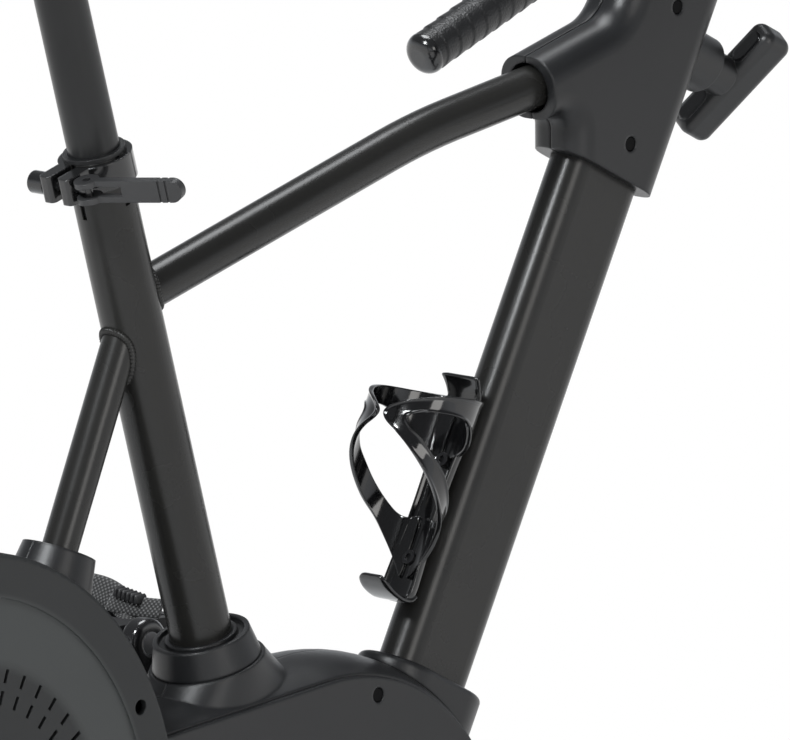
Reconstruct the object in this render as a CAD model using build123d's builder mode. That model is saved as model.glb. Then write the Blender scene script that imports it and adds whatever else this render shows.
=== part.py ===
from build123d import *
import os
from math import cos, radians, sin

# Exercise bike. +X is forward, +Y is the rider's left, +Z is up. The origin is on the floor, below the
# bottom bracket and midway along the base. All sizes are in millimetres and degrees.

# Clearances
slide_gap = 0.05  # radial, between a sliding or turning piece and its bore
free_gap = 0.3  # between bodies that only pass each other
trim_gap = 0.3  # round a tube that passes through a plastic cover

# Frame lines in the mid-plane
bb_height = 300.0
seat_lean = 16.5
seat_base_x = -87.0
seat_base_z = 472.0
post_lean = 27.5
post_ref_x = 117.0
post_ref_z = 444.0

# Seat tube, top tube and rear stay
seat_tube_d = 38.5
seat_tube_bore = 34.5
seat_tube_sunk = 60.0
seat_tube_rise = 319.5
slit_width = 3.5
slit_depths = {180: 36.0, 90: 32.0, -90: 32.0}
top_tube_d = 27.0
top_tube_wall = 2.0
top_tube_joint = 222.0
top_tube_bend = (102.0, 757.0)
top_tube_bend_radius = 500.0
top_tube_end = 389.0
stay_d = 22.5
stay_wall = 2.0
stay_joint = 215.5
stay_lean = 23.5
stay_end_height = 410.0

# Front post, a flat-oval tube
post_depth = 68.0
post_width = 30.0
post_wall = 2.0
post_low = -90.0
post_high = 430.0

# Bottom bracket and its bracket
bracket_width = 16.0
pedestal_length = 70.0
pedestal_top = 262.0
bracket_notch = 345.0
bb_shell_d = 50.0
bb_shell_right = -30.0
bb_shell_left = 16.0
bb_bearing_d = 37.0
bb_bearing_width = 7.0
spindle_d = 24.0

# Rear hub
axle_x = -340.0
axle_z = 372.0
hub_d = 50.0
hub_half = 13.0
hub_bearing_d = 40.0
hub_bearing_width = 11.0
hub_arm_width = 16.0
hub_arm_root = 36.0
hub_arm_boss = 30.0
shaft_d = 17.0
leg_length = 40.0
leg_width = 20.0
leg_wall = 2.5

# Base
base_half = 580.0
base_width = 550.0
stab_depth = 70.0
stab_height = 40.0
stab_bottom = 25.0
stab_wall = 2.5
cap_wall = 4.0
cap_length = 46.0
cap_round = 10.0
beam_width = 60.0
beam_wall = 3.0
wheel_d = 56.0
wheel_width = 22.0
wheel_spread = 200.0
wheel_lift = 4.0
wheel_gap = 6.0
wheel_pin_d = 9.0
wheel_round = 3.0
ear_thickness = 5.0
ear_depth = 20.0
ear_nose = 11.0

# Drive housing: a crowned drum round the bottom bracket, one round the flywheel, a neck between them, and a
# mound on the neck under the seat tube's collar
drum_crest = 149.0
drum_shoulder = 139.5
housing_half = 37.0
housing_wall = 3.0
rear_drum_crest = 182.0
rear_drum_shoulder = 178.0
rear_drum_half = 30.0
rear_drum_mouth = 165.0
neck_slope = 5.7
neck_bottom = -70.0
spindle_hole_d = 30.0
mound_top_d = 72.0
mound_depth = 34.0
mound_length = 134.0
mound_width = 72.8
mound_back = 8.0
panel_radius = 138.0
panel_thickness = 3.0
panel_reach = 175.0
panel_round = 1.2
panel_lower = -60.0

# Disc covers
disc_radius = 187.5
disc_face = 45.0
disc_wall = 3.0
disc_band_inner = 161.0
disc_groove = 1.2
disc_dome = 49.0
disc_dome_radius = 121.0
disc_rim_round = 3.0
disc_flange_inner = 166.0
disc_flange = 2.5
vent_rings = (115.4, 102.0)
vent_count = 48
vent_length = 8.5
vent_width = 2.6
vent_start = 4.0

# Cover screws
screw_hole_d = 9.5
screw_head_d = 8.0
screw_head = 2.5
screw_shank_d = 4.0
disc_screw_radius = 172.0
disc_screw_angle = 25.4
disc_screw_count = 4
panel_screw_radius = 126.7
panel_screw_angles = (77.9, 4.0, 180.0, 282.0)
shroud_screw_rises = (21.5, 112.0)
shroud_screw_depth = 3.0
shroud_screw_boss_d = 14.0

# Trim collars
seat_collar_top_d = 60.0
seat_collar_base_d = 68.0
seat_collar_height = 18.0
seat_collar_step = 3.0
stay_collar_d = 46.0
stay_collar_base_d = 58.0
stay_collar_drop = 152.0
stay_collar_height = 40.0
post_collar_skin = 12.0
post_collar_top = -26.0
post_collar_bottom = -75.0
post_collar_round = 4.0

# Head shroud
shroud_skin = 7.5
shroud_wall = 3.0
shroud_lip = 4.0
shroud_play = 1.0
shroud_low = 304.0
shroud_high = 450.0
shroud_round = 17.0
shroud_heel = 1.5
shroud_seam = 1.0
mouth_d = 40.0
mouth_x = 200.0
mouth_throat = 16.0
mouth_clearance = 2.5
ridge_height = 392.0
ridge_fillet = 28.0
throat_fillet = 9.0

# Front clamp with its T-shaped handle
clamp_height = 398.0
clamp_boss_d = 36.0
clamp_boss_end = 60.0
clamp_stud_d = 12.0
clamp_hub_d = 26.0
clamp_hub_start = 61.5
clamp_bar_start = 78.0
clamp_bar_thickness = 25.0
clamp_bar_width = 21.0
clamp_bar_length = 84.0
clamp_bar_turn = 33.4
clamp_bar_round = 7.0
inlay_length = 24.0
inlay_width = 12.0
inlay_depth = 2.0
inlay_end = 5.0

# Bottle cage on the rear of the post
bottle_d = 70.0
cage_thickness = 2.6
cage_bolt_low = 35.0
cage_bolt_spacing = 64.0
cage_plate_width = 26.0
cage_plate_thickness = 4.0
cage_plate_low = 8.0
cage_plate_high = 150.0
cage_lip_reach = 13.0
cage_lip_root = 136.0
cage_standoff = 3.0
cage_boss_d = 14.0
cage_band_root = (128.0, 141.0)
cage_band_crest = ((-76.0, 118.5), (-76.0, 131.5))
cage_band_tip = (103.0, 115.0)
cage_strip_root = (24.0, 64.0)
cage_strip_upper = ((-62.0, 79.0), (-88.0, 91.0))
cage_strip_lower = ((-94.0, 77.0), (-62.0, 60.0))
cage_strip_tip = 99.0
cage_tip_gap = 12.0
cage_foot_knee = -56.0
cage_foot_tip = (-70.0, 14.5)
cage_bolt_d = 5.0
cage_head_d = 9.0
cage_head = 3.5

# Seat post clamp
band_low = 302.0
band_height = 17.0
band_d = 46.0
band_slit = 6.0
ear_reach = 38.0
ear_width = 9.5
ear_round = 3.0
clamp_bolt_back = 30.0
clamp_bolt_d = 6.0
clamp_nut_d = 14.0
clamp_nut = 12.0
lever_pin_d = 5.0
lever_cam_d = 16.0
lever_length = 65.0
lever_height = 14.0
lever_thickness = 6.0
lever_fork_gap = 6.8
lever_window = 24.0
lever_turn = 16.5
lever_groove = 1.0
lever_groove_width = 1.5
lever_groove_steps = (10.0, 15.0)

# Seat post, its bushing and the saddle
seat_post_d = 32.0
seat_post_wall = 2.5
seat_post_low = 150.0
seat_post_high = 470.0
bushing_depth = 60.0
bushing_flange = 3.0
rail_d = 7.0
rail_spread = 44.0
rail_rise = 21.0
rail_flat = 130.0
rail_bend_radius = 22.0
rail_rear = (-108.0, 72.0, 24.0)
rail_front = (122.0, 18.0, 24.0)
clamp_block_length = 50.0
clamp_block_width = 62.0
clamp_block_below = 11.0
clamp_cap_height = 9.0
clamp_socket_d = 41.0
clamp_socket_depth = 26.0
clamp_socket_rise = 10.0
clamp_cap_round = 3.0
saddle_shell_thickness = 4.0
saddle_shell_rear = (-85.0, 22.0, 28.0)
saddle_shell_nose = (122.0, 9.0)
rail_socket_depth = 9.0
rail_socket_rear = (22.0, 86.0)
rail_socket_front = (20.0, 32.0)
# Shares of the pad's half width or height: foot, widest line, shoulder, crest and middle channel
saddle_draw_in = 0.86
saddle_belt = 0.35
saddle_shoulder = (0.66, 0.88)
saddle_crest = 0.28
saddle_channel = 0.14
# Station along the saddle, width and height of the pad there
saddle_sections = (
    (-152.0, 64.0, 15.0),
    (-143.0, 112.0, 29.0),
    (-95.0, 146.0, 38.0),
    (-30.0, 102.0, 35.0),
    (40.0, 60.0, 32.0),
    (108.0, 46.0, 30.0),
    (134.0, 34.0, 24.0),
    (141.0, 18.0, 13.0),
)

# Handlebar post, stem and drop bar
bar_post_depth = 50.0
bar_post_width = 22.0
bar_post_wall = 2.5
bar_post_low = 330.0
bar_post_high = 500.0
post_bushing_depth = 70.0
post_bushing_flange = 4.0
bar_x = 390.0
bar_z = 900.0
bar_d = 23.8
bar_wall = 2.0
bar_clamp_d = 31.8
bar_clamp_half = 32.0
bar_taper = 40.0
bar_half_width = 200.0
bar_bend_radius = 41.0
bar_reach = 100.0
bar_ramp = 2.0
bar_end_x = 317.6
bar_end_z = 758.4
bar_end_slope = 21.0
tape_d = 27.4
tape_gap = 0.02  # radial, under the wound tape
tape_stop = 78.0
plug_cap = 8.0
plug_depth = 16.0
plug_round = 7.5
stem_width = 44.0
stem_socket = 34.0
stem_skin = 6.0
stem_clamp_d = 46.0
stem_clamp_height = 54.0
stem_clamp_depth = 14.0
stem_round = 5.0
faceplate_gap = 2.5
stem_bolt_d = 5.0
stem_bolt_head_d = 8.5
stem_bolt_head = 5.0
stem_bolt_seat = 8.0
stem_bolt_length = 18.0
stem_bolt_spread = 26.0
stem_bolt_pitch = 43.0

# Crankset and pedals
pulley_d = 200.0
pulley_right = 17.0
pulley_left = 29.5
pulley_web = 5.0
pulley_rim = 9.0
pulley_hub_d = 46.0
pulley_windows = 5
pulley_window_d = 44.0
crank_length = 173.0
crank_angle = 114.9
crank_inner = 56.0
crank_thickness = 14.0
crank_boss_d = 40.0
crank_eye_d = 30.0
crank_round = 4.0
pedal_thread_d = 14.0
pedal_axle_d = 12.0
pedal_flange_d = 18.0
pedal_flange = 3.0
pedal_inner = 76.0
pedal_width = 88.0
pedal_length = 92.0
pedal_thickness = 18.0
pedal_corner = 8.0
pedal_window = (28.0, 35.0)
pedal_window_pitch = (52.0, 41.0)
pedal_axle_end = 158.0
strap_width = 20.0
strap_thickness = 2.0
strap_rise = 18.0
strap_offset = 22.0
strap_tail = 6.0

# Flywheel, belt and brake
flywheel_d = 310.0
flywheel_right = -34.0
flywheel_left = -15.0
flywheel_rim = 45.0
flywheel_web = 7.0
flywheel_hub_d = 50.0
small_pulley_d = 60.0
belt_thickness = 3.0
belt_width = 11.0
belt_gap = 0.3
brake_length = 56.0
brake_gap = 2.0
brake_plate = 3.5
brake_height = 46.0
brake_clearance = 2.0
brake_bridge = 6.0

os.makedirs("parts", exist_ok=True)


def save(piece, name):
    """Label a finished piece and write it to its own file."""
    piece.part.label = name
    export_step(piece.part, f"parts/{name}.step")


def lean_plane(x, z, lean):
    """Cross-section plane of a tube that leans forward: x forward, y left, z up the tube."""
    turn = radians(lean)
    return Plane(origin=(x, 0, z), x_dir=(cos(turn), 0, -sin(turn)), z_dir=(sin(turn), 0, cos(turn)))


def side_plane(y):
    """Plane seen from the bike's right, at the given y: local x forward, local y up."""
    return Plane.XZ.offset(-y)


def flat(point):
    """Forward and upward coordinates of a point, for use on a side plane."""
    return (point.X, point.Z)


SEAT = lean_plane(seat_base_x, seat_base_z, -seat_lean)
POST = lean_plane(post_ref_x, post_ref_z, post_lean)


def on_seat(forward, left, up):
    return SEAT.from_local_coords(Vector(forward, left, up))


def on_post(forward, left, up):
    return POST.from_local_coords(Vector(forward, left, up))


stay_top = on_seat(0, 0, stay_joint)
stay_down = Vector(-sin(radians(stay_lean)), 0, -cos(radians(stay_lean)))
stay_length = (stay_top.Z - stay_end_height) / -stay_down.Z
stay_end = stay_top + stay_down * stay_length
tube_start = on_seat(0, 0, top_tube_joint)
tube_bend = Vector(top_tube_bend[0], 0, top_tube_bend[1])
tube_end = on_post(0, 0, top_tube_end)
tube_front_way = (tube_end - tube_bend).normalized()
axle = Vector(axle_x, 0, axle_z)
bb = Vector(0, 0, bb_height)


def around(centre, radius, angle):
    """Forward and upward coordinates of a point on a circle seen from the bike's right."""
    return (centre.X + radius * cos(radians(angle)), centre.Z + radius * sin(radians(angle)))


disc_screw_spots = [
    around(axle, disc_screw_radius, disc_screw_angle + 360 / disc_screw_count * turn)
    for turn in range(disc_screw_count)
]
panel_screw_spots = [around(bb, panel_screw_radius, angle) for angle in panel_screw_angles]
shroud_screw_spots = [flat(on_post(0, 0, shroud_low + rise)) for rise in shroud_screw_rises]


# Tools shared by the pieces: each cuts or adds a plain envelope in the piece being built
def cut_seat_tube(gap=0.0):
    with BuildSketch(SEAT.offset(-seat_tube_sunk)) as section:
        Circle(seat_tube_d / 2 + gap)
    extrude(section.sketch, amount=seat_tube_sunk + seat_tube_rise, mode=Mode.SUBTRACT)


def cut_front_post(gap=0.0):
    with BuildSketch(POST.offset(post_low)) as section:
        SlotOverall(post_depth + 2 * gap, post_width + 2 * gap)
    extrude(section.sketch, amount=post_high - post_low, mode=Mode.SUBTRACT)


def cut_stay(gap=0.0):
    with BuildSketch(Plane(origin=stay_top, z_dir=stay_down)) as section:
        Circle(stay_d / 2 + gap)
    extrude(section.sketch, amount=stay_length, mode=Mode.SUBTRACT)


def cut_across(x, z, diameter, low, high):
    """Round hole along y, from low to high."""
    with BuildSketch(side_plane(high)) as section:
        with Locations((x, z)):
            Circle(diameter / 2)
    extrude(section.sketch, amount=high - low, mode=Mode.SUBTRACT)


def add_ring(x, z, outer, inner, low, high):
    """Ring about a line along y."""
    with BuildSketch(side_plane(high)) as section:
        with Locations((x, z)):
            Circle(outer / 2)
            Circle(inner / 2, mode=Mode.SUBTRACT)
    extrude(section.sketch, amount=high - low)


def add_round(x, z, diameter, low, high):
    """Round bar along y."""
    with BuildSketch(side_plane(high)) as section:
        with Locations((x, z)):
            Circle(diameter / 2)
    extrude(section.sketch, amount=high - low)


# Welded frame
with BuildPart() as seat_tube:
    with BuildSketch(SEAT.offset(-seat_tube_sunk)):
        Circle(seat_tube_d / 2)
        Circle(seat_tube_bore / 2, mode=Mode.SUBTRACT)
    extrude(amount=seat_tube_sunk + seat_tube_rise)
    for angle, depth in slit_depths.items():
        with BuildSketch(SEAT.offset(seat_tube_rise - depth)):
            with Locations(Rotation(0, 0, angle)):
                with Locations((seat_tube_d / 4, 0)):
                    Rectangle(seat_tube_d / 2, slit_width)
        extrude(amount=depth, mode=Mode.SUBTRACT)
save(seat_tube, "seat_tube")

with BuildPart() as top_tube:
    with BuildLine() as tube_line:
        FilletPolyline(tube_start, tube_bend, tube_end, radius=top_tube_bend_radius)
    with BuildSketch(Plane(origin=tube_line.line @ 0, z_dir=tube_line.line % 0)):
        Circle(top_tube_d / 2)
        Circle(top_tube_d / 2 - top_tube_wall, mode=Mode.SUBTRACT)
    sweep(path=tube_line.line)
    cut_seat_tube()
    cut_front_post()
save(top_tube, "top_tube")

with BuildPart() as rear_stay:
    with BuildSketch(Plane(origin=stay_top, z_dir=stay_down)):
        Circle(stay_d / 2)
        Circle(stay_d / 2 - stay_wall, mode=Mode.SUBTRACT)
    extrude(amount=stay_length)
    cut_seat_tube()
save(rear_stay, "rear_stay")

with BuildPart() as front_post:
    with BuildSketch(POST.offset(post_low)):
        SlotOverall(post_depth, post_width)
        SlotOverall(post_depth - 2 * post_wall, post_width - 2 * post_wall, mode=Mode.SUBTRACT)
    extrude(amount=post_high - post_low)
    for rise in (cage_bolt_low, cage_bolt_low + cage_bolt_spacing):
        with BuildSketch(Plane(origin=on_post(-post_depth / 2, 0, rise), z_dir=-POST.x_dir)):
            Circle(cage_bolt_d / 2)
        extrude(amount=-2 * post_wall, both=True, mode=Mode.SUBTRACT)
    with BuildSketch(Plane(origin=on_post(post_depth / 2, 0, clamp_height), z_dir=POST.x_dir)):
        Circle(clamp_stud_d / 2 + slide_gap)
    extrude(amount=4 * post_wall, both=True, mode=Mode.SUBTRACT)
    for x, z in shroud_screw_spots:
        cut_across(x, z, screw_shank_d, -post_width / 2, post_width / 2)
save(front_post, "front_post")

# Bracket between the two tubes, the bottom bracket shell and the base
stab_top = stab_bottom + stab_height
with BuildPart() as bb_bracket:
    with BuildSketch(side_plane(bracket_width / 2)):
        with BuildLine():
            Polyline(
                (-pedestal_length / 2, stab_top),
                (-pedestal_length / 2, pedestal_top),
                flat(on_seat(-seat_tube_d / 2, 0, -seat_tube_sunk)),
                flat(on_seat(seat_tube_d / 2, 0, -seat_tube_sunk)),
                (0, bracket_notch),
                flat(on_post(-post_depth / 2, 0, post_low)),
                flat(on_post(post_depth / 2, 0, post_low)),
                (pedestal_length / 2, pedestal_top),
                (pedestal_length / 2, stab_top),
                close=True,
            )
        make_face()
    extrude(amount=bracket_width)
    add_round(0, bb_height, bb_shell_d, bb_shell_right, bb_shell_left)
    cut_across(0, bb_height, bb_bearing_d, bb_shell_right, bb_shell_left)
save(bb_bracket, "bb_bracket")

with BuildPart() as rear_hub:
    with BuildSketch(side_plane(hub_arm_width / 2)):
        boss_way = stay_end + stay_down * (hub_arm_boss / 2)
        with Locations(flat(axle)):
            Circle(hub_arm_root / 2)
        with Locations(flat(boss_way)):
            Circle(stay_d / 2 - 1)
        make_hull()
    extrude(amount=hub_arm_width)
    with BuildSketch(Plane(origin=stay_end, z_dir=stay_down)):
        Circle(stay_d / 2)
    extrude(amount=hub_arm_boss)
    with BuildSketch(Plane(origin=stay_end, z_dir=-stay_down)):
        Circle(hub_d)
    extrude(amount=hub_d, mode=Mode.SUBTRACT)
    add_round(axle_x, axle_z, hub_d, -hub_half, hub_half)
    cut_across(axle_x, axle_z, hub_bearing_d, -hub_half, hub_half)
save(rear_hub, "rear_hub")

with BuildPart() as rear_leg:
    with BuildSketch(Plane(origin=(axle_x, 0, stab_top))):
        Rectangle(leg_length, leg_width)
        Rectangle(leg_length - 2 * leg_wall, leg_width - 2 * leg_wall, mode=Mode.SUBTRACT)
    extrude(amount=axle_z - stab_top)
    cut_across(axle_x, axle_z, hub_d, -hub_half, hub_half)
save(rear_leg, "rear_leg")

with BuildPart() as drive_bearings:
    for low in (bb_shell_right, bb_shell_left - bb_bearing_width):
        add_ring(0, bb_height, bb_bearing_d, spindle_d + 2 * slide_gap, low, low + bb_bearing_width)
    for low in (-hub_half, hub_half - hub_bearing_width):
        add_ring(axle_x, axle_z, hub_bearing_d, shaft_d + 2 * slide_gap, low, low + hub_bearing_width)
save(drive_bearings, "drive_bearings")

# Base on the floor
rear_stab_x = -base_half + cap_wall + stab_depth / 2
front_stab_x = base_half - wheel_d - wheel_gap - stab_depth / 2
wheel_x = base_half - wheel_d / 2
wheel_z = wheel_lift + wheel_d / 2
tube_half = base_width / 2 - 2 * cap_wall

with BuildPart() as stabilizers:
    for x in (rear_stab_x, front_stab_x):
        middle = (x, tube_half, stab_bottom + stab_height / 2)
        with BuildSketch(Plane(origin=middle, x_dir=(1, 0, 0), z_dir=(0, -1, 0))):
            RectangleRounded(stab_depth, stab_height, cap_round)
            RectangleRounded(
                stab_depth - 2 * stab_wall, stab_height - 2 * stab_wall, cap_round - stab_wall,
                mode=Mode.SUBTRACT,
            )
        extrude(amount=2 * tube_half)
    ear_start = front_stab_x + stab_depth / 2
    for side in (-1, 1):
        for edge in (-1, 1):
            middle = side * wheel_spread + edge * (wheel_width / 2 + free_gap + ear_thickness / 2)
            with BuildSketch(side_plane(middle + ear_thickness / 2)):
                with Locations((wheel_x, wheel_z)):
                    Circle(ear_nose)
                with Locations((ear_start, stab_bottom + stab_height / 2)):
                    Rectangle(stab_wall, ear_depth)
                make_hull()
                with Locations((wheel_x, wheel_z)):
                    Circle(wheel_pin_d / 2 + slide_gap, mode=Mode.SUBTRACT)
            extrude(amount=ear_thickness)
save(stabilizers, "stabilizers")

with BuildPart() as base_beam:
    beam_start = rear_stab_x + stab_depth / 2
    beam_end = front_stab_x - stab_depth / 2
    beam_middle = (beam_start, 0, stab_bottom + stab_height / 2)
    with BuildSketch(Plane(origin=beam_middle, x_dir=(0, 1, 0), z_dir=(1, 0, 0))):
        Rectangle(beam_width, stab_height)
        Rectangle(beam_width - 2 * beam_wall, stab_height - 2 * beam_wall, mode=Mode.SUBTRACT)
    extrude(amount=beam_end - beam_start)
save(base_beam, "base_beam")

with BuildPart() as foot_caps:
    for x in (rear_stab_x, front_stab_x):
        for side in (-1, 1):
            across = (side, 0, 0)
            inward = (0, -side, 0)
            with BuildSketch(Plane(origin=(x, side * base_width / 2, 0), x_dir=across, z_dir=inward)):
                with Locations((0, (stab_top + cap_wall) / 2)):
                    RectangleRounded(stab_depth + 2 * cap_wall, stab_top + cap_wall, cap_round)
            extrude(amount=cap_length)
            with BuildSketch(Plane(origin=(x, side * tube_half, 0), x_dir=across, z_dir=inward)):
                with Locations((0, stab_bottom + stab_height / 2)):
                    RectangleRounded(stab_depth, stab_height, cap_round)
            extrude(amount=cap_length, mode=Mode.SUBTRACT)
save(foot_caps, "foot_caps")

for side, name in ((-1, "right"), (1, "left")):
    with BuildPart() as transport_wheel:
        middle = side * wheel_spread
        add_round(wheel_x, wheel_z, wheel_d, middle - wheel_width / 2, middle + wheel_width / 2)
        fillet(transport_wheel.edges().filter_by(GeomType.CIRCLE), wheel_round)
        pin_half = wheel_width / 2 + free_gap + ear_thickness + 1
        add_round(wheel_x, wheel_z, wheel_pin_d, middle - pin_half, middle + pin_half)
    save(transport_wheel, f"transport_wheel_{name}")


# Drive housing
def add_drum(centre, crest, shoulder, half):
    """Disc about a line along y whose rim is crowned between its two shoulders."""
    with BuildSketch(Plane(origin=centre)) as section:
        with BuildLine():
            Polyline((shoulder, half), (0, half), (0, -half), (shoulder, -half))
            ThreePointArc((shoulder, -half), (crest, 0), (shoulder, half))
        make_face()
    revolve(section.sketch, axis=Axis(centre, (0, 1, 0)))


def add_neck(inset):
    """Crowned bar that runs from the bottom bracket back to the flywheel, level with the front drum."""
    slope = radians(neck_slope)
    half = housing_half - inset
    plane = Plane(origin=bb, x_dir=(0, -1, 0), z_dir=(-cos(slope), 0, -sin(slope)))
    with BuildSketch(plane) as section:
        with BuildLine():
            Polyline(
                (half, drum_shoulder - inset),
                (half, neck_bottom + inset),
                (-half, neck_bottom + inset),
                (-half, drum_shoulder - inset),
            )
            ThreePointArc(
                (-half, drum_shoulder - inset), (0, drum_crest - inset), (half, drum_shoulder - inset)
            )
        make_face()
    extrude(section.sketch, amount=-axle_x)


def add_housing(inset):
    add_drum(bb, drum_crest - inset, drum_shoulder - inset, housing_half - inset)
    add_drum(axle, rear_drum_crest - inset, rear_drum_shoulder - inset, rear_drum_half - inset)
    add_neck(inset)


with BuildPart() as housing_form:
    add_housing(0)
    with BuildSketch(SEAT.offset(-seat_collar_height)):
        Circle(mound_top_d / 2)
    with BuildSketch(SEAT.offset(-seat_collar_height - mound_depth)):
        with Locations((-mound_back, 0)):
            Ellipse(mound_length / 2, mound_width / 2)
    loft()

with BuildPart() as housing_core:
    add_housing(housing_wall)
    add_round(axle_x, axle_z, 2 * rear_drum_mouth, -rear_drum_half, rear_drum_half)

stay_collar_top = stay_top + stay_down * stay_collar_drop
with BuildPart() as housing:
    add(housing_form.part)
    with BuildSketch(Plane(origin=stay_collar_top, z_dir=stay_down)):
        Circle(stay_collar_d / 2)
    with BuildSketch(Plane(origin=stay_collar_top + stay_down * stay_collar_height, z_dir=stay_down)):
        Circle(stay_collar_base_d / 2)
    loft()
    add(housing_core.part, mode=Mode.SUBTRACT)
    cut_seat_tube(trim_gap)
    cut_front_post(trim_gap)
    cut_stay(trim_gap)
    cut_across(0, bb_height, spindle_hole_d, -housing_half, housing_half)
    with BuildSketch(Plane(origin=(axle_x, 0, stab_top))):
        Rectangle(leg_length + 2 * trim_gap, leg_width + 2 * trim_gap)
    extrude(amount=axle_z - stab_top, mode=Mode.SUBTRACT)
    with BuildSketch(Plane(origin=(0, 0, stab_top))):
        Rectangle(pedestal_length + 2 * trim_gap, bracket_width + 2 * trim_gap)
    extrude(amount=bb_height - stab_top, mode=Mode.SUBTRACT)
    for low, high in ((-housing_half, -rear_drum_half), (rear_drum_half, housing_half)):
        cut_across(axle_x, axle_z, 2 * (disc_radius + trim_gap), low, high)
    for x, z in disc_screw_spots:
        cut_across(x, z, screw_shank_d, -rear_drum_half, rear_drum_half)
    for x, z in panel_screw_spots:
        cut_across(x, z, screw_shank_d, -housing_half, housing_half)

for keep, name in ((Keep.TOP, "right"), (Keep.BOTTOM, "left")):
    with BuildPart() as housing_half_shell:
        add(housing.part)
        split(bisect_by=Plane.XZ, keep=keep)
    save(housing_half_shell, f"housing_{name}")

# Side panels and disc covers
with BuildPart() as side_panels:
    panel_top = around(bb, panel_radius, 90 + neck_slope)
    panel_rear = (
        panel_top[0] - panel_reach * cos(radians(neck_slope)),
        panel_top[1] - panel_reach * sin(radians(neck_slope)),
    )
    for face in (housing_half + panel_thickness, -housing_half):
        with BuildSketch(side_plane(face)):
            with BuildLine():
                Polyline(
                    panel_top,
                    panel_rear,
                    (panel_rear[0], bb_height + panel_lower),
                    (0, bb_height + panel_lower),
                    close=True,
                )
            make_face()
            with Locations(flat(bb)):
                Circle(panel_radius)
                Circle(spindle_hole_d / 2, mode=Mode.SUBTRACT)
            with Locations(flat(axle)):
                Circle(disc_radius + trim_gap, mode=Mode.SUBTRACT)
            with Locations(panel_screw_spots):
                Circle(screw_hole_d / 2, mode=Mode.SUBTRACT)
        extrude(amount=panel_thickness)
    panel_faces = side_panels.faces().sort_by(Axis.Y)
    fillet(panel_faces[0].outer_wire().edges() + panel_faces[-1].outer_wire().edges(), panel_round)
save(side_panels, "side_panels")

screw_floor = rear_drum_half + disc_flange
with BuildPart() as disc_covers:
    for side in (-1, 1):
        with BuildSketch(Plane(origin=axle)):
            with BuildLine():
                Polyline(
                    (disc_radius - disc_rim_round, side * disc_face),
                    (disc_band_inner, side * disc_face),
                    (disc_band_inner, side * (disc_face - disc_groove)),
                    (disc_dome_radius, side * disc_dome),
                    (0, side * disc_dome),
                    (0, side * (disc_dome - disc_wall)),
                    (disc_dome_radius, side * (disc_dome - disc_wall)),
                    (disc_band_inner, side * (disc_face - disc_groove - disc_wall)),
                    (disc_radius - disc_wall, side * (disc_face - disc_groove - disc_wall)),
                    (disc_radius - disc_wall, side * screw_floor),
                    (disc_flange_inner, side * screw_floor),
                    (disc_flange_inner, side * rear_drum_half),
                    (disc_radius, side * rear_drum_half),
                    (disc_radius, side * (disc_face - disc_rim_round)),
                )
                RadiusArc(
                    (disc_radius, side * (disc_face - disc_rim_round)),
                    (disc_radius - disc_rim_round, side * disc_face),
                    -side * disc_rim_round,
                )
            make_face()
        revolve(axis=Axis(axle, (0, 1, 0)))
        low, high = sorted((side * rear_drum_half, side * (disc_dome + disc_wall)))
        with BuildSketch(side_plane(high)):
            with Locations(flat(axle)):
                for ring in vent_rings:
                    with PolarLocations(ring, vent_count, start_angle=vent_start):
                        Rectangle(vent_length, vent_width)
        extrude(amount=high - low, mode=Mode.SUBTRACT)
        seat_low, seat_high = sorted((side * screw_floor, side * (disc_face + disc_wall)))
        for x, z in disc_screw_spots:
            cut_across(x, z, screw_hole_d, seat_low, seat_high)
            cut_across(x, z, screw_shank_d, low, high)
save(disc_covers, "disc_covers")

# Trim collars round the seat tube and the front post
with BuildPart() as seat_tube_collar:
    with BuildSketch(SEAT):
        Circle(seat_collar_top_d / 2)
    with BuildSketch(SEAT.offset(-seat_collar_height)):
        Circle(seat_collar_base_d / 2)
    loft()
    with BuildSketch(SEAT):
        Circle(seat_collar_top_d / 2 - seat_collar_step)
        Circle(seat_tube_d / 2 + seat_collar_step, mode=Mode.SUBTRACT)
    extrude(amount=-seat_collar_step, mode=Mode.SUBTRACT)
    add(housing_form.part, mode=Mode.SUBTRACT)
    add(side_panels.part, mode=Mode.SUBTRACT)
    cut_seat_tube()
save(seat_tube_collar, "seat_tube_collar")

with BuildPart() as post_collar:
    with BuildSketch(POST.offset(post_collar_bottom)):
        SlotOverall(post_depth + 2 * post_collar_skin, post_width + 2 * post_collar_skin)
    extrude(amount=post_collar_top - post_collar_bottom)
    fillet(post_collar.edges().group_by(Axis(POST.origin, POST.z_dir))[-1], post_collar_round)
    add(housing_form.part, mode=Mode.SUBTRACT)
    cut_front_post()
save(post_collar, "post_collar")

# Head shroud: a sleeve round the top of the post, with a branch that takes in the top tube
shroud_half = post_width / 2 + shroud_skin
shroud_reach = post_depth / 2 + shroud_skin
shroud_cavity = shroud_skin - shroud_wall
mouth = tube_bend + tube_front_way * ((mouth_x - tube_bend.X) / tube_front_way.X)
mouth_up = Vector(-tube_front_way.Z, 0, tube_front_way.X)
mouth_low = mouth - mouth_up * (mouth_d / 2)
throat = mouth_low + tube_front_way * mouth_throat
ridge = on_post(-shroud_reach, 0, ridge_height)
shroud_ends = (mouth, on_post(-shroud_heel / 2, 0, shroud_low), on_post(0, 0, shroud_high))


def is_end(edge):
    """True for an outline edge on the mouth, the skirt or the top of the shroud."""
    middle = edge @ 0.5
    return any((Vector(middle.X, 0, middle.Z) - end).length < shroud_lip for end in shroud_ends)


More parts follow.
